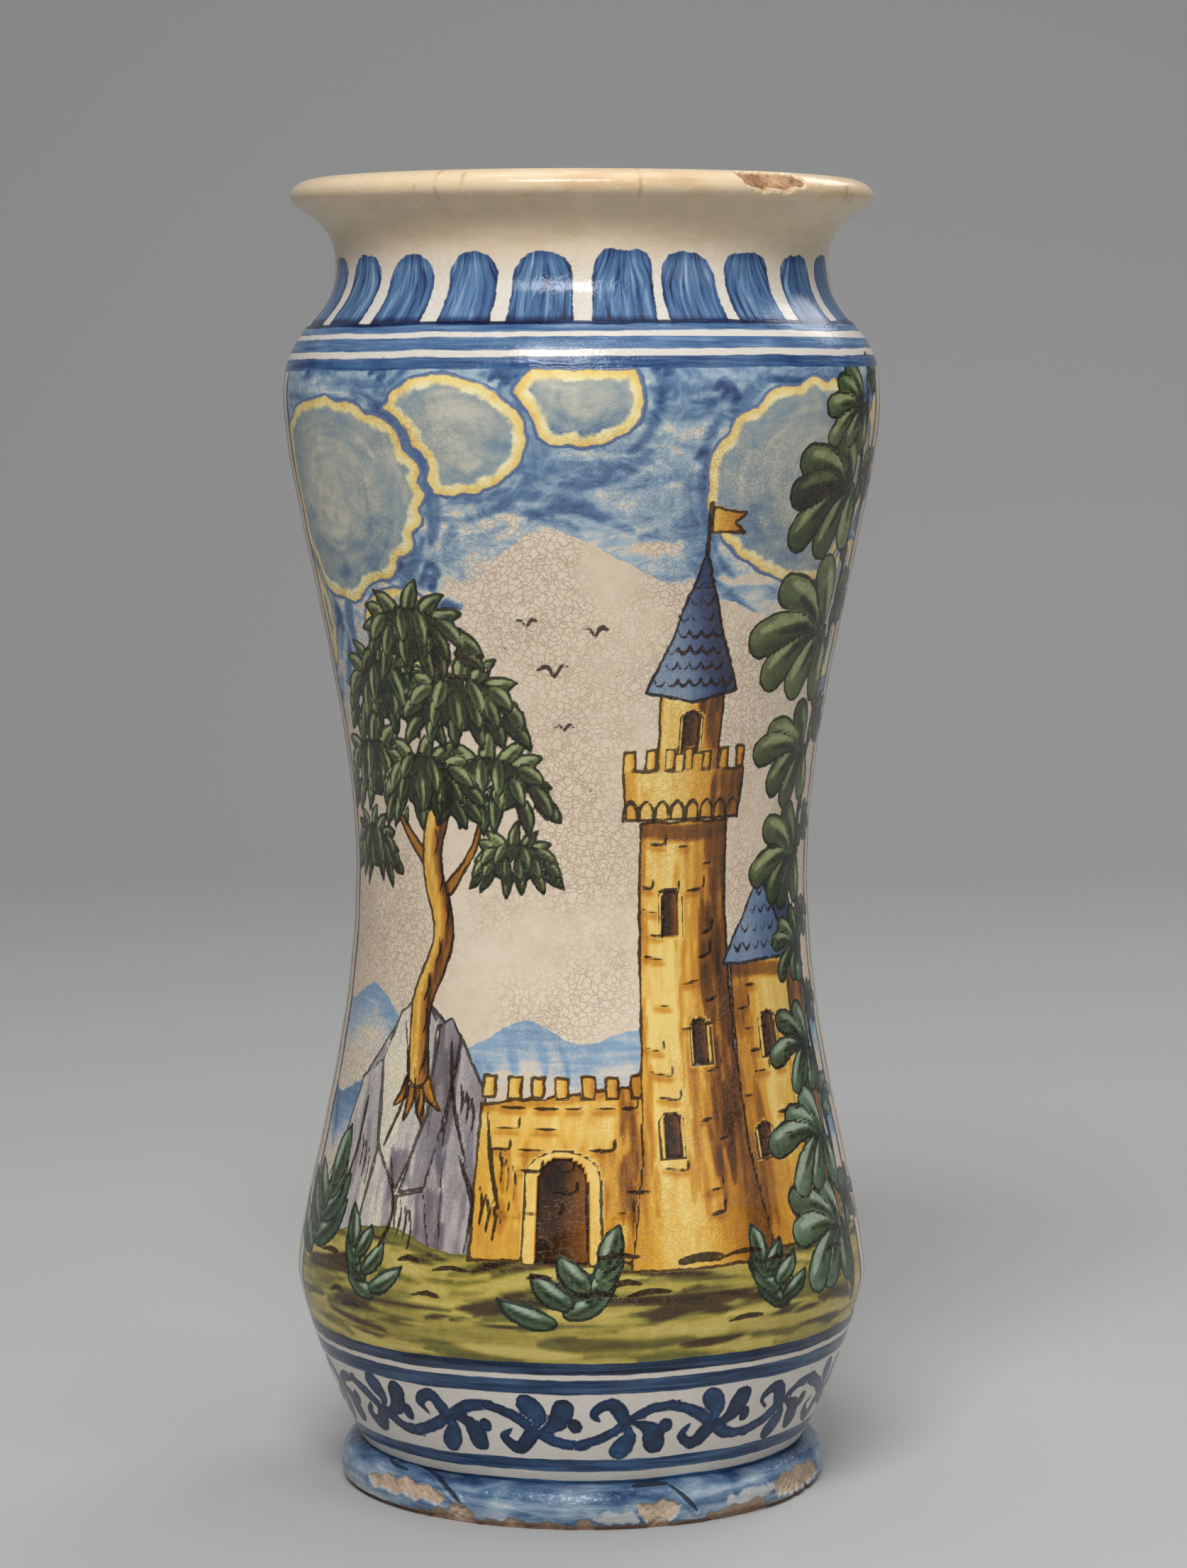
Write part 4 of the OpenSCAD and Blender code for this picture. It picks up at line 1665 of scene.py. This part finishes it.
        self.fill("roof", [(14.8, 186.5), (20.5, 199), (27, 218), (33.5, 199), (39.2, 186.5), (27, 184.2)],
                  lambda x, y: 0.2 + 0.66 * smoothstep(23, 37, x + (y - 186) * 0.25))
        for k in range(7):
            z = 188.5 + 3.6 * k
            half = 10.8 * (1 - (z - 186.5) / 33.0)
            shift = 1.3 if k % 2 else 0.0
            for s in np.arange(27 - half + shift, 27 + half - 2.8, 2.9):
                self.pen([(s, z + 1.3), (s + 0.5, z), (s + 1.4, z - 0.5), (s + 2.3, z), (s + 2.8, z + 1.3)], 0.7)
        self.stroke("ink", [(27, 217), (27.1, 228)], 1.1)
        self.fill("gold", [(27.4, 227.5), (36, 226), (33.5, 223.8), (36.5, 221.2), (27.4, 221.5)],
                  lambda x, y: 0.25 + 0.4 * smoothstep(28, 36, x))
        self.courses((14.6, 70), (36, 156), 1.8, 17)
        for hole in ((23, 132, 2.4, 11), (30, 104, 2.2, 10), (21, 84, 2.2, 10)):
            self.opening(*hole)

    def ground(self) -> None:
        """Lays the near ground in sloping strokes of olive, yellow and brown."""
        across, up = zip(*self.CREST)
        self.fill("earth", [(-106, 38.6), *eased(self.CREST), (106, 38.6)],
                  lambda x, y: 0.36 + 0.3 * smoothstep(60, 41, y))
        for _ in range(400):
            s = self.pick(-104, 104)
            crest = float(np.interp(s, across, up))
            share = self.hand.random() ** 1.3
            z = self.GROUND_Z + (crest - self.GROUND_Z - 0.8) * share
            run = self.pick(5, 18)
            rise = share * (float(np.interp(s + run, across, up)) - crest) + self.shake(0.7)
            choice = self.hand.random()
            tone = 0.04 if choice < 0.3 else 0.26 if choice < 0.48 else 0.58 if choice < 0.7 else 0.94
            self.shade("earth", [(s - run, z - rise), (s, z + self.shake(0.6)), (s + run, z + rise)],
                       self.pick(0.8, 3.0 if tone > 0.8 else 4.2), tone + self.shake(0.06), strength=0.85,
                       soft=0.5)
        for _ in range(18):
            s = self.pick(-72, 68)
            crest = float(np.interp(s, across, up))
            z = self.GROUND_Z + (crest - self.GROUND_Z) * self.pick(0.2, 0.95)
            run = self.pick(2.0, 6.0)
            self.pen([(s - run, z - 0.5), (s, z + 0.3), (s + run, z - 0.2)], 1.2)

    def lobe(self, root: Pair, way: float, length: float, width: float, curl: float, tone: float,
             taper: Taper = Taper.LEAF) -> None:
        """Paints one leaf, or one lobe of it, lit from above, with a dark vein.

        Args:
            root: where the lobe starts.
            way: its direction, in degrees from level.
            length: its length.
            width: its full width.
            curl: how far it bends, in degrees.
            tone: its darkness.
            taper: its shape, round-ended or pointed.
        """
        points = [np.array(root)]
        sides = []
        for k in range(4):
            turn = radians(way + curl * (k + 0.5) / 4)
            points.append(points[-1] + length / 4 * np.array([cos(turn), sin(turn)]))
            sides.append(np.array([-sin(turn), cos(turn)]))
        lit = cos(radians(way + curl / 2))
        lit = lit if abs(lit) > 0.35 else copysign(0.35, lit)
        self.stroke("leaf", points, width, tone, taper, fade=-0.08, bias=-0.24 * lit)
        above = [p + n * width * 0.2 * copysign(1, lit) for p, n in zip(points[1:], sides)]
        below = [p - n * width * 0.06 * copysign(1, lit) for p, n in zip(points[:4], sides)]
        self.shade("leaf", above, width * 0.28, tone - 0.5, strength=0.9, soft=0.4)
        self.shade("leaf", below, width * 0.2, tone + 0.42, strength=0.9, soft=0.3)

    def sprig(self, root: Pair, hand: float, size: float, tone: float) -> None:
        """Paints a sprig of round-ended lobes that fan out from the end of a short stalk.

        Args:
            root: where the sprig leaves its stem.
            hand: 1 or -1, the side that it reaches to.
            size: its reach.
            tone: its darkness.
        """
        heart = np.array(root) + size * np.array([0.24 * hand, 0.16])
        self.stroke("leaf", [(root[0], root[1] - size * 0.4), root, heart], size * 0.14, tone + 0.22)
        for lift, reach, back in ((-84, 0.4, 0.16), (-50, 0.5, 0.08), (86, 0.46, 0.1), (-16, 0.62, 0.02),
                                  (52, 0.6, 0.04), (18, 0.72, 0.0)):
            way = (lift if hand > 0 else 180 - lift) + self.shake(6)
            length = size * reach * (1 + self.shake(0.09))
            self.lobe((heart[0] - back * size * hand, heart[1]), way, length, size * 0.32,
                      (-14.0 if lift < -30 else -44.0) * hand, tone + self.shake(0.09))

    def foliage(self, s: float, z: float, size: float) -> None:
        """Paints one clump of a tree's crown, from its dark heart to the lobes on top.

        Args:
            s: its place round the jar.
            z: its place up the jar.
            size: its half width.
        """
        for k in range(7):
            turn = 168 - 26 * k
            root = (s + size * 0.45 * cos(radians(turn)), z + size * 0.22 * sin(radians(turn)))
            self.lobe(root, turn + self.shake(6), size * 0.7, size * 0.33, 34 if turn > 90 else -34,
                      0.42 + self.shake(0.08), Taper.BLADE)
        self.fill("leaf", [(s + size * 0.72 * cos(t), z + size * 0.44 * sin(t))
                           for t in np.linspace(0, tau, 24, endpoint=False)], 0.86, smooth=True)
        for row, (drop, spread, count) in enumerate(((-0.26, 0.82, 6), (0.02, 0.72, 6), (0.26, 0.52, 4))):
            for k in range(count):
                share = 2 * k / (count - 1) - 1 + self.shake(0.05)
                root = (s + share * spread * size, z + size * (drop + 0.16 * (1 - share * share)))
                self.lobe(root, -90 + share * 66 + self.shake(9), size * (0.62 + self.shake(0.05)), size * 0.31,
                          -share * 34, 0.66 - 0.13 * row + 0.08 * share + self.shake(0.06), Taper.BLADE)

    def tree(self) -> None:
        """Paints the tree on the crag."""
        trunk = [(-42, 101), (-43, 116), (-37, 132), (-41, 148), (-36, 166)]
        self.stroke("gold", [(-41, 146), (-52, 158), (-57, 168)], 3.6, 0.62, Taper.COMMA)
        self.stroke("gold", [(-40, 138), (-29, 150), (-25, 160)], 3.6, 0.62, Taper.COMMA)
        for s, z in ((-49, 93), (-45, 90), (-39, 89.5), (-34, 93)):
            root = [(-42, 104), ((s - 42) / 2, (z + 100) / 2), (s, z)]
            self.stroke("gold", root, 4.6, 0.56, Taper.COMMA, bias=-0.25)
        self.stroke("gold", trunk, 6.8, 0.5, bias=-0.34)
        for k in range(30):
            z = 99 + 2.0 * k
            s = float(np.interp(z, [p[1] for p in trunk], [p[0] for p in trunk]))
            lit = k % 2 == 0
            self.shade("gold", [(s + (-1.4 if lit else 1.9), z), (s + (-1.1 if lit else 2.2), z + 6)], 1.3,
                       0.12 if lit else 0.96, strength=0.8, soft=0.3)
            if k % 4 == 1:
                self.pen([(s + 0.4, z), (s + 1.6, z + 3.2), (s + 1.3, z + 6.4)], 0.8)
        for clump in ((-66, 150, 11), (-17, 149, 10), (-61, 168, 15), (-23, 166, 14), (-42, 166, 14),
                      (-53, 186, 15), (-29, 184, 14), (-41, 199, 14)):
            self.foliage(*clump)

    def plants(self) -> None:
        """Paints the leafy plants of the near ground."""
        for s, z, size, lean in ((-74, 57, 30, 6), (-47, 51, 19, -8), (-5, 49, 22, 10), (46, 50, 19, -6)):
            for k in range(7):
                share = k / 6
                side = 1.0 if k % 2 else -1.0
                at = (s + lean * share, z + size * 0.52 * share)
                reach = size * (0.52 - 0.16 * share) if k < 6 else size * 0.46
                way = 90 - side * (74 - 34 * share) if k < 6 else 90 - lean
                self.lobe(at, way + self.shake(6), reach * (1.1 + self.shake(0.06)), size * 0.24,
                          side * 34 if k < 6 else -lean, 0.46 + self.shake(0.08), Taper.BLADE)

    def garland(self) -> None:
        """Hangs a garland of leaves along the right edge of the picture, and rules both edges."""
        s = 73.0
        self.stroke("leaf", [(s, 46), (s + 1.2, 96), (s - 1.2, 150), (s + 1.0, 205), (s, 250)], 2.2, 0.8)
        for z, size in ((58, 25), (82, 20), (103, 18), (123, 18), (144, 20), (168, 23), (195, 26), (223, 25),
                        (246, 17)):
            self.sprig((s + 0.5, z + 9), 1.0, size * 0.48, 0.6 + self.shake(0.05))
            self.sprig((s - 0.5, z + self.shake(1.5)), -1.0, size * (1 + self.shake(0.1)), 0.54 + self.shake(0.06))
        for edge in (-self.EDGE - self.RULE_GAP, -self.EDGE, self.EDGE, self.EDGE + self.RULE_GAP):
            self.stroke("scroll", [(edge, 39.6), (edge + 0.5, 150), (edge, 257.4)], 1.4, 0.84)

    def birds(self) -> None:
        """Draws a few birds in the open sky."""
        for s, z, size in ((-6, 190, 4.0), (3, 199, 3.2), (-12, 201, 2.8), (-4, 178, 2.4)):
            self.pen([(s - size, z + size * 0.45), (s - size * 0.4, z + size * 0.62), (s, z)], 0.95)
            self.pen([(s, z), (s + size * 0.45, z + size * 0.7), (s + size, z + size * 0.5)], 0.95)

    def border(self) -> None:
        """Runs a brushed scroll of leaves and dots round the lower border."""
        units = 18
        pitch = LAP / units
        for k in range(units):
            s = (k + 0.5) * pitch - LAP / 2
            flip = 1.0 if k % 2 else -1.0

            def at(x: float, y: float) -> Pair:
                """Places a point of the unit on the band."""
                return (s + x * pitch + self.shake(0.12), self.BORDER_Z + flip * y + self.shake(0.12))

            self.stroke("scroll", [at(-0.52, -4.6), at(-0.25, -2.4), at(0.0, 1.0), at(0.25, 4.0), at(0.52, 4.6)],
                        2.7, 0.82)
            self.stroke("scroll", [at(-0.02, 1.0), at(-0.18, 5.4), at(-0.37, 3.2), at(-0.27, 0.6)], 4.2, 0.86,
                        Taper.COMMA)
            self.stroke("scroll", [at(0.05, 1.2), at(0.24, -0.6), at(0.32, -4.6)], 5.2, 0.9, Taper.LEAF)
            self.stroke("scroll", [at(0.0, 0.6), at(0.03, -2.6), at(-0.08, -5.8)], 4.8, 0.78, Taper.LEAF)
            self.stroke("scroll", [at(0.42, -0.6), at(0.43, 0.1)], 3.0, 0.92)


@dataclass(frozen=True)
class Chip:
    """A flake broken out of the glaze and of the clay behind it.

    Its outline is in degrees round the jar and millimetres along the skin.
    """

    outline: tuple[Pair, ...]
    depth: float

    def edge(self, turning: Turning) -> Array:
        """Gives each vertex's distance from the flake's ragged edge, negative inside.

        Args:
            turning: the piece that is chipped.

        Returns:
            The distances.
        """
        ring = np.array(self.outline)
        middle = radians(float(ring[:, 0].mean()))
        reach = float(turning.radius[turning.skin].mean())
        x = (turning.azimuth - middle) * reach
        corners = np.stack([(np.radians(ring[:, 0]) - middle) * reach, ring[:, 1]], axis=1)
        y = turning.arc
        ragged = 0.42 * np.sin(0.9 * x + 0.7 * y) + 0.16 * np.sin(2.1 * x - 1.9 * y + 1.0)
        return outline_gap(corners, x, y) + (ragged + 0.04 * np.sin(5.1 * x + 2.3 * y))


def break_chips(glaze: Turning, clay: Turning, chips: Sequence[Chip], coat: float) -> None:
    """Breaks the same flakes out of a coat of glaze and of the clay under it.

    Args:
        glaze: the coat, whose broken edges are marked.
        clay: the clay, with arcs from the same place.
        chips: the flakes.
        coat: thickness of the glaze.
    """
    for turning in (glaze, clay):
        edge, lost = np.full(len(turning.arc), 9.0), np.zeros(len(turning.arc))
        x, y = turning.around, turning.arc
        grain = np.sin(x * 2.1) * np.sin(y * 2.7) + np.sin(x * 5.3 + y * 3.9)
        for chip in chips:
            gap = chip.edge(turning)
            edge = np.minimum(edge, gap)
            lost = np.maximum(lost, chip.depth * smoothstep(0.2, -1.8, gap) * (1 + 0.14 * grain))
        bare = smoothstep(0.32, -0.32, edge)
        if turning is glaze:
            turning.hold("chip", 0.85 * smoothstep(0.35, 0.0, edge))
            turning.sink(lost + bare * np.where(turning.skin, coat + 0.45, 0.75))
        else:
            turning.sink(np.where(turning.skin, lost + 0.05 * bare * grain, 0.0))


@dataclass
class Foot:
    """The foot coil and its coat of blue glaze."""

    profile: JarProfile
    spacing: float = 0.25
    turn: tuple[Sector, ...] = (Sector(360.0, 1200),)
    chips: tuple[Chip, ...] = (
        Chip(((-60.5, 4.2), (-57, 5.8), (-51, 6.2), (-45, 6.8), (-39, 6.2), (-34, 5.2), (-31.8, 3.6),
              (-35, 3), (-40, 2.8), (-46, 2.9), (-52, 2.7), (-58, 2.9)), 0.45),
        Chip(((-41, 0.2), (-36, 0.9), (-31.6, 2.4), (-28, 3.7), (-25.1, 1.3), (-25.4, -1.8),
              (-40, -1.8)), 0.4),
        Chip(((-0.6, 0.8), (0.2, 1.8), (2, 1.8), (3.1, 0.5), (2.4, -1.8), (-0.4, -1.8)), 0.3),
        Chip(((13.1, 4.7), (16.1, 5.1), (21.2, 4.7), (23.6, 4.1), (22, 2), (20.6, 0.1), (18.6, -1.8),
              (16.4, -1.2), (15.4, 0.5), (13.6, 2.9)), 0.5),
        Chip(((50.9, 4.9), (52.6, 5.6), (57.2, 5.9), (64.2, 6.2), (72, 5.1), (75.1, 3.2), (74.9, 0.9),
              (68.5, 0.1), (61.6, 0.4), (55.6, 0.6), (52.2, 1.9)), 0.7),
        Chip(((29.1, -1.8), (31.4, 0.8), (36.2, 1.5), (42.6, 2.1), (47.4, 2.2), (49.1, 0.1), (46, -1.8)), 0.4),
        Chip(((-24, -1.8), (-22, 0.4), (-16, 0.7), (-10, 0.3), (-4, 0.6), (-3, -1.8)), 0.2),
        Chip(((105, 3.5), (112, 4.8), (121, 3), (119, -1.8), (108, -1.8)), 0.5),
        Chip(((-140, 1.8), (-132, 2.6), (-118, 1.2), (-118, -1.8), (-140, -1.8)), 0.4),
        Chip(((-172, 1), (-160, 1.6), (-152, 0.6), (-152, -1.8), (-172, -1.8)), 0.3),
        Chip(((146, 0.8), (152, 2.4), (161, 1.4), (160, -1.8), (146, -1.8)), 0.3))
    laps: tuple[tuple[Pair, ...], ...] = (
        ((-43.5, 11.3), (-39.1, 10.2), (-34.2, 7.7), (-30.2, 5), (-28.6, 3.5)),
        ((21.1, 9.2), (23.4, 6.5), (25.6, 4.1), (27.4, 2)), ((-58.1, 11.3), (-52.5, 9.3), (-46.8, 8.9)),
        ((118, 10.6), (123, 7), (126, 3)), ((-108, 10.4), (-112, 7), (-113, 4)))
    thin_places: tuple[tuple[Pair, ...], ...] = (
        ((3.7, 1.6), (8, 1.9), (13, 1)), ((36.2, 2.8), (42.5, 3.7), (50.8, 4.3)),
        ((84, 2), (96, 2.6)), ((-96, 2), (-84, 3)))

    def build(self) -> None:
        """Makes the coil and its glaze."""
        p = self.profile
        glaze = Turning("blue_foot_coat", respaced(p.foot_line(0.0, p.foot_bare_h), self.spacing),
                        respaced(p.foot_line(p.glaze_t, p.foot_bare_h), 1.0), self.turn)
        skin = respaced(p.foot_line(p.glaze_t, 0.02), self.spacing)
        skin[0, 1] = 0.0
        inside = np.array([[p.coil_r, 0.0], [p.coil_r, p.foot_h - p.glaze_t]])
        clay = Turning("chipped_foot_coil", skin, inside, self.turn)
        clay.arc = clay.arc - p.foot_bare_h
        self.brush(glaze)
        for turning in (glaze, clay):
            turning.push(hand_thrown(turning.azimuth, turning.height) * 0.6
                         + 0.25 * np.sin(9 * turning.azimuth + 0.5) * smoothstep(0.5, 4.0, turning.height))
        break_chips(glaze, clay, self.chips, p.glaze_t)
        glaze.seat(FootGlaze().dress("blue_foot_glaze"), "blue_glaze", "foot_glaze")
        bare = BareClay(paint(210, 188, 164), paint(172, 144, 120), soiled=0.8)
        clay.seat(bare.dress("bare_foot_clay"), "biscuit_clay", "foot_coil")

    def brush(self, glaze: Turning) -> None:
        """Marks where the coil laps over itself and where the blue wash is thin.

        Args:
            glaze: the foot's coat.
        """
        canvas = Canvas(glaze, ("seam", "pale"), glaze.arc)

        def placed(line: Line) -> list[Pair]:
            """Turns degrees round the jar into the canvas's own places."""
            return [(radians(a) * WRAP_R, up) for a, up in line]

        for line in self.laps:
            canvas.stroke("seam", placed(line), 0.8, taper=Taper.LINE)
        canvas.stroke("seam", placed(((12.6, 9.6), (17.0, 10.2), (21.0, 9.6))), 2.0, taper=Taper.LINE)
        for line in self.thin_places:
            canvas.stroke("pale", placed(line), 3.2, taper=Taper.LINE)
        glaze.push(0.5 * np.exp(-((canvas.coats["seam"].edge - 0.6) / 0.5) ** 2))
        canvas.keep()


@dataclass
class Body:
    """The body's painted coat, in two halves that meet at the waist."""

    profile: JarProfile
    spacing: float = 0.65

    def build(self) -> None:
        """Makes and paints both halves."""
        p = self.profile
        skin, back = p.body_line(0.0), p.body_line(p.glaze_t)
        material = PaintedGlaze().dress("painted_tin_glaze")
        for name, keep in (("painted_coat_lower", lambda z: z <= p.waist_z + TINY),
                           ("painted_coat_upper", lambda z: z >= p.waist_z - TINY)):
            half = Turning(name, respaced(skin[keep(skin[:, 1])], self.spacing),
                           respaced(back[keep(back[:, 1])], 9.0), FRONT_TURN, FRONT_START)
            Landscape(half).paint()
            half.push(hand_thrown(half.azimuth, half.height))
            half.seat(material, "painted_glaze", "body_glaze")


@dataclass
class Collar:
    """The shoulder, neck and rim: clay, and a cream coat with blue tongues."""

    profile: JarProfile
    spacing: float = 0.55
    tongues: int = 22
    tongue_half: float = 6.7
    tongue_top: float = 282.4
    tongue_foot: float = 266.4
    turn: tuple[Sector, ...] = (Sector(28.0, 48), Sector(24.0, 130), Sector(308.0, 490))
    chips: tuple[Chip, ...] = (
        Chip(((31.2, 42.6), (33, 44.2), (37, 44.8), (42, 44.4), (46, 43), (47.4, 40.6), (47, 39.3),
              (44.4, 38.6), (41.5, 37.8), (37.8, 37.9), (34.2, 38.8), (32, 39.7)), 0.7),
        Chip(((-156, 41), (-153.5, 43), (-149, 42.4), (-149.5, 40), (-153, 39)), 0.5))
    crazes: tuple[float, ...] = (-33, -28.2, -22.8, 11, 62, 128, -110)

    def build(self) -> None:
        """Makes the clay collar and its glaze."""
        p = self.profile
        glaze = Turning("cream_collar_coat", respaced(p.collar_line(0.0), self.spacing),
                        respaced(p.collar_line(p.glaze_t), 1.1), self.turn)
        seam = p.shoulder.points(p.wall, p.seam_at)
        inside = np.vstack([respaced(seam, 2.0), respaced(p.mouth.points(0.0), 2.0)[1:-1]])
        clay = Turning("chipped_collar", respaced(p.collar_line(p.glaze_t), 0.7), inside, self.turn)
        clay.arc = clay.arc * glaze.arc.max() / clay.arc.max()
        self.brush(glaze)
        for turning in (glaze, clay):
            turning.push(hand_thrown(turning.azimuth, turning.height))
        break_chips(glaze, clay, self.chips, p.glaze_t)
        glaze.seat(CollarGlaze().dress("cream_collar_glaze"), "cream_glaze", "collar_glaze")
        bare = BareClay(paint(208, 170, 126), paint(124, 82, 50))
        clay.seat(bare.dress("bare_rim_clay"), "biscuit_clay", "thrown_collar")

    def brush(self, glaze: Turning) -> None:
        """Brushes the tongues and the fine upright crazes on the rim.

        Args:
            glaze: the collar's coat.
        """
        hand = np.random.default_rng(12)
        edge = np.full(len(glaze.arc), 20.0)
        side, along, which = (np.zeros(len(glaze.arc)) for _ in range(3))
        pitch = LAP / self.tongues
        for k in range(self.tongues):
            middle = (k + 0.5) * pitch - LAP / 2 + hand.normal(0, 0.45)
            top, half = self.tongue_top + hand.normal(0, 0.45), self.tongue_half * (1 + hand.normal(0, 0.045))
            slant, corner = hand.normal(0, 0.03), half * hand.uniform(0.62, 0.95)
            x = glaze.around - middle - slant * (glaze.height - self.tongue_foot)
            x = (x + LAP / 2) % LAP - LAP / 2
            y = glaze.height - (top + self.tongue_foot) / 2
            tall = (top - self.tongue_foot) / 2
            round_off = np.where(y > 0, corner, 0.4)
            qx, qy = np.abs(x) - half + round_off, np.abs(y) - tall + round_off
            gap = np.hypot(np.maximum(qx, 0), np.maximum(qy, 0)) + np.minimum(np.maximum(qx, qy), 0) - round_off
            mine = gap < edge
            edge = np.where(mine, gap, edge)
            side = np.where(mine, np.clip(x / half, -1.2, 1.2), side)
            along = np.where(mine, np.clip((top - glaze.height) / (2 * tall), 0, 1), along)
            which = np.where(mine, k, which)
        craze = np.zeros(len(glaze.arc))
        for azimuth in self.crazes:
            wander = 0.0024 * np.sin(glaze.arc * 0.9 + azimuth) + 0.001 * np.sin(glaze.arc * 2.3)
            gap = np.abs(glaze.azimuth - radians(azimuth) - wander) * glaze.radius
            craze = np.maximum(craze, smoothstep(0.34, 0.0, gap) * smoothstep(291, 296, glaze.height))
        for name, values in (("tongue_edge", edge), ("tongue_side", side), ("tongue_along", along),
                             ("tongue_which", which), ("craze", craze)):
            glaze.hold(name, values)


@dataclass
class Lining:
    """The coat of glaze inside the jar."""

    profile: JarProfile

    def build(self) -> None:
        """Makes the lining from the floor to the top of the lip."""
        p = self.profile
        lining = Turning("lining_coat", respaced(p.inside_line(p.glaze_t), 1.6), respaced(p.inside_line(0.0), 8.0),
                         (Sector(360.0, 192),), closed=False)
        lining.push(hand_thrown(lining.azimuth, lining.height) * 0.6 * smoothstep(5.0, 40.0, lining.radius))
        lining.seat(LiningGlaze().dress("cream_lining_glaze"), "lining_glaze", "lining_glaze")


@dataclass
class Studio:
    """Floor, light and camera."""

    eye: Place = (2.7, -991.6, 254.1)
    pitch: float = 0.09303
    focal_px: float = 6066.6
    frame_px: float = 2212.0
    sensor: float = 36.0
    far: float = 20.0
    reach: float = 9.0
    bend_at: float = 1.2
    bend: float = 0.8
    wall_top: float = 4.0
    floor_colour: Colour = paint(176, 176, 175)
    air_colour: Colour = paint(205, 208, 214)
    air_light: float = 0.16
    aim: Place = (0.0, 0.0, 0.16)
    lamps: tuple[tuple[str, Place, Pair, float], ...] = (
        ("key", (-0.22, -1.4, 1.5), (0.9, 0.6), 34.0), ("fill", (1.3, -1.1, 0.8), (0.8, 0.8), 3.4),
        ("top", (0.1, 0.1, 1.7), (1.2, 1.0), 8.0), ("back", (0.9, 1.0, 1.3), (0.8, 0.8), 7.0))

    def camera(self) -> None:
        """Sets the camera at the photograph's place."""
        data = bpy.data.cameras.new("camera")
        data.sensor_width = self.sensor
        data.lens = self.focal_px * self.sensor / self.frame_px
        data.clip_end = self.far
        view = linked("camera", data)
        view.location = Vector(self.eye) * MM
        view.rotation_euler = (pi / 2 - self.pitch, 0.0, 0.0)
        bpy.context.scene.camera = view

    def floor(self) -> None:
        """Lays a pale sheet that curves up behind the jar."""
        bm = bmesh.new()
        line = [(-self.reach, 0.0), (self.bend_at, 0.0)]
        for t in np.linspace(0.1, pi / 2, 16):
            line.append((self.bend_at + self.bend * sin(t), self.bend - self.bend * cos(t)))
        line.append((self.bend_at + self.bend, self.wall_top))
        ring = [bm.verts.new((-self.reach, y, z)) for y, z in line]
        edges = [bm.edges.new(pair) for pair in zip(ring, ring[1:])]
        wide = bmesh.ops.extrude_edge_only(bm, edges=edges)
        moved = [v for v in wide["geom"] if isinstance(v, bmesh.types.BMVert)]
        bmesh.ops.translate(bm, vec=(2 * self.reach, 0, 0), verts=moved)
        bmesh.ops.recalc_face_normals(bm, faces=bm.faces)
        for face in bm.faces:
            face.smooth = True
        mesh = bpy.data.meshes.new("floor")
        bm.to_mesh(mesh)
        bm.free()
        floor = linked("floor", mesh)
        mesh.materials.append(Sheet("pale_floor").finish(self.floor_colour, 0.9))

    def lamp(self, name: str, place: Place, size: Pair, power: float) -> None:
        """Hangs one soft box that points at the jar.

        Args:
            name: its name.
            place: where it hangs, in metres.
            size: its width and height.
            power: its power in watts.
        """
        data = bpy.data.lights.new(name, "AREA")
        data.shape = "RECTANGLE"
        data.size, data.size_y = size
        data.energy = power
        lamp = linked(name, data)
        lamp.location = place
        lamp.rotation_euler = (Vector(self.aim) - Vector(place)).to_track_quat("-Z", "Y").to_euler()

    def light(self) -> None:
        """Lights the jar softly from above and in front."""
        for name, place, size, power in self.lamps:
            self.lamp(name, place, size, power)
        world = bpy.data.worlds.new("studio")
        world.use_nodes = True
        background = world.node_tree.nodes["Background"]
        background.inputs["Color"].default_value = self.air_colour
        background.inputs["Strength"].default_value = self.air_light
        bpy.context.scene.world = world
        bpy.context.scene.view_settings.view_transform = "Standard"


def main() -> None:
    """Builds the jar's looks around its frame."""
    logging.basicConfig(level=logging.INFO, format="%(name)s: %(message)s")
    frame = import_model()
    profile = JarProfile()
    clay = BareClay().dress("bare_clay")
    for name in ("thrown_body", "collar_slip_seam", "foot_slip_seam"):
        node = frame["nodes"][name]
        node.data.materials.clear()
        node.data.materials.append(clay)
        LOG.info("%s: kept from the frame", name)
    for piece in (Foot(profile), Body(profile), Collar(profile), Lining(profile)):
        piece.build()
    studio = Studio()
    studio.camera()
    studio.floor()
    studio.light()


if __name__ == "__main__":
    main()
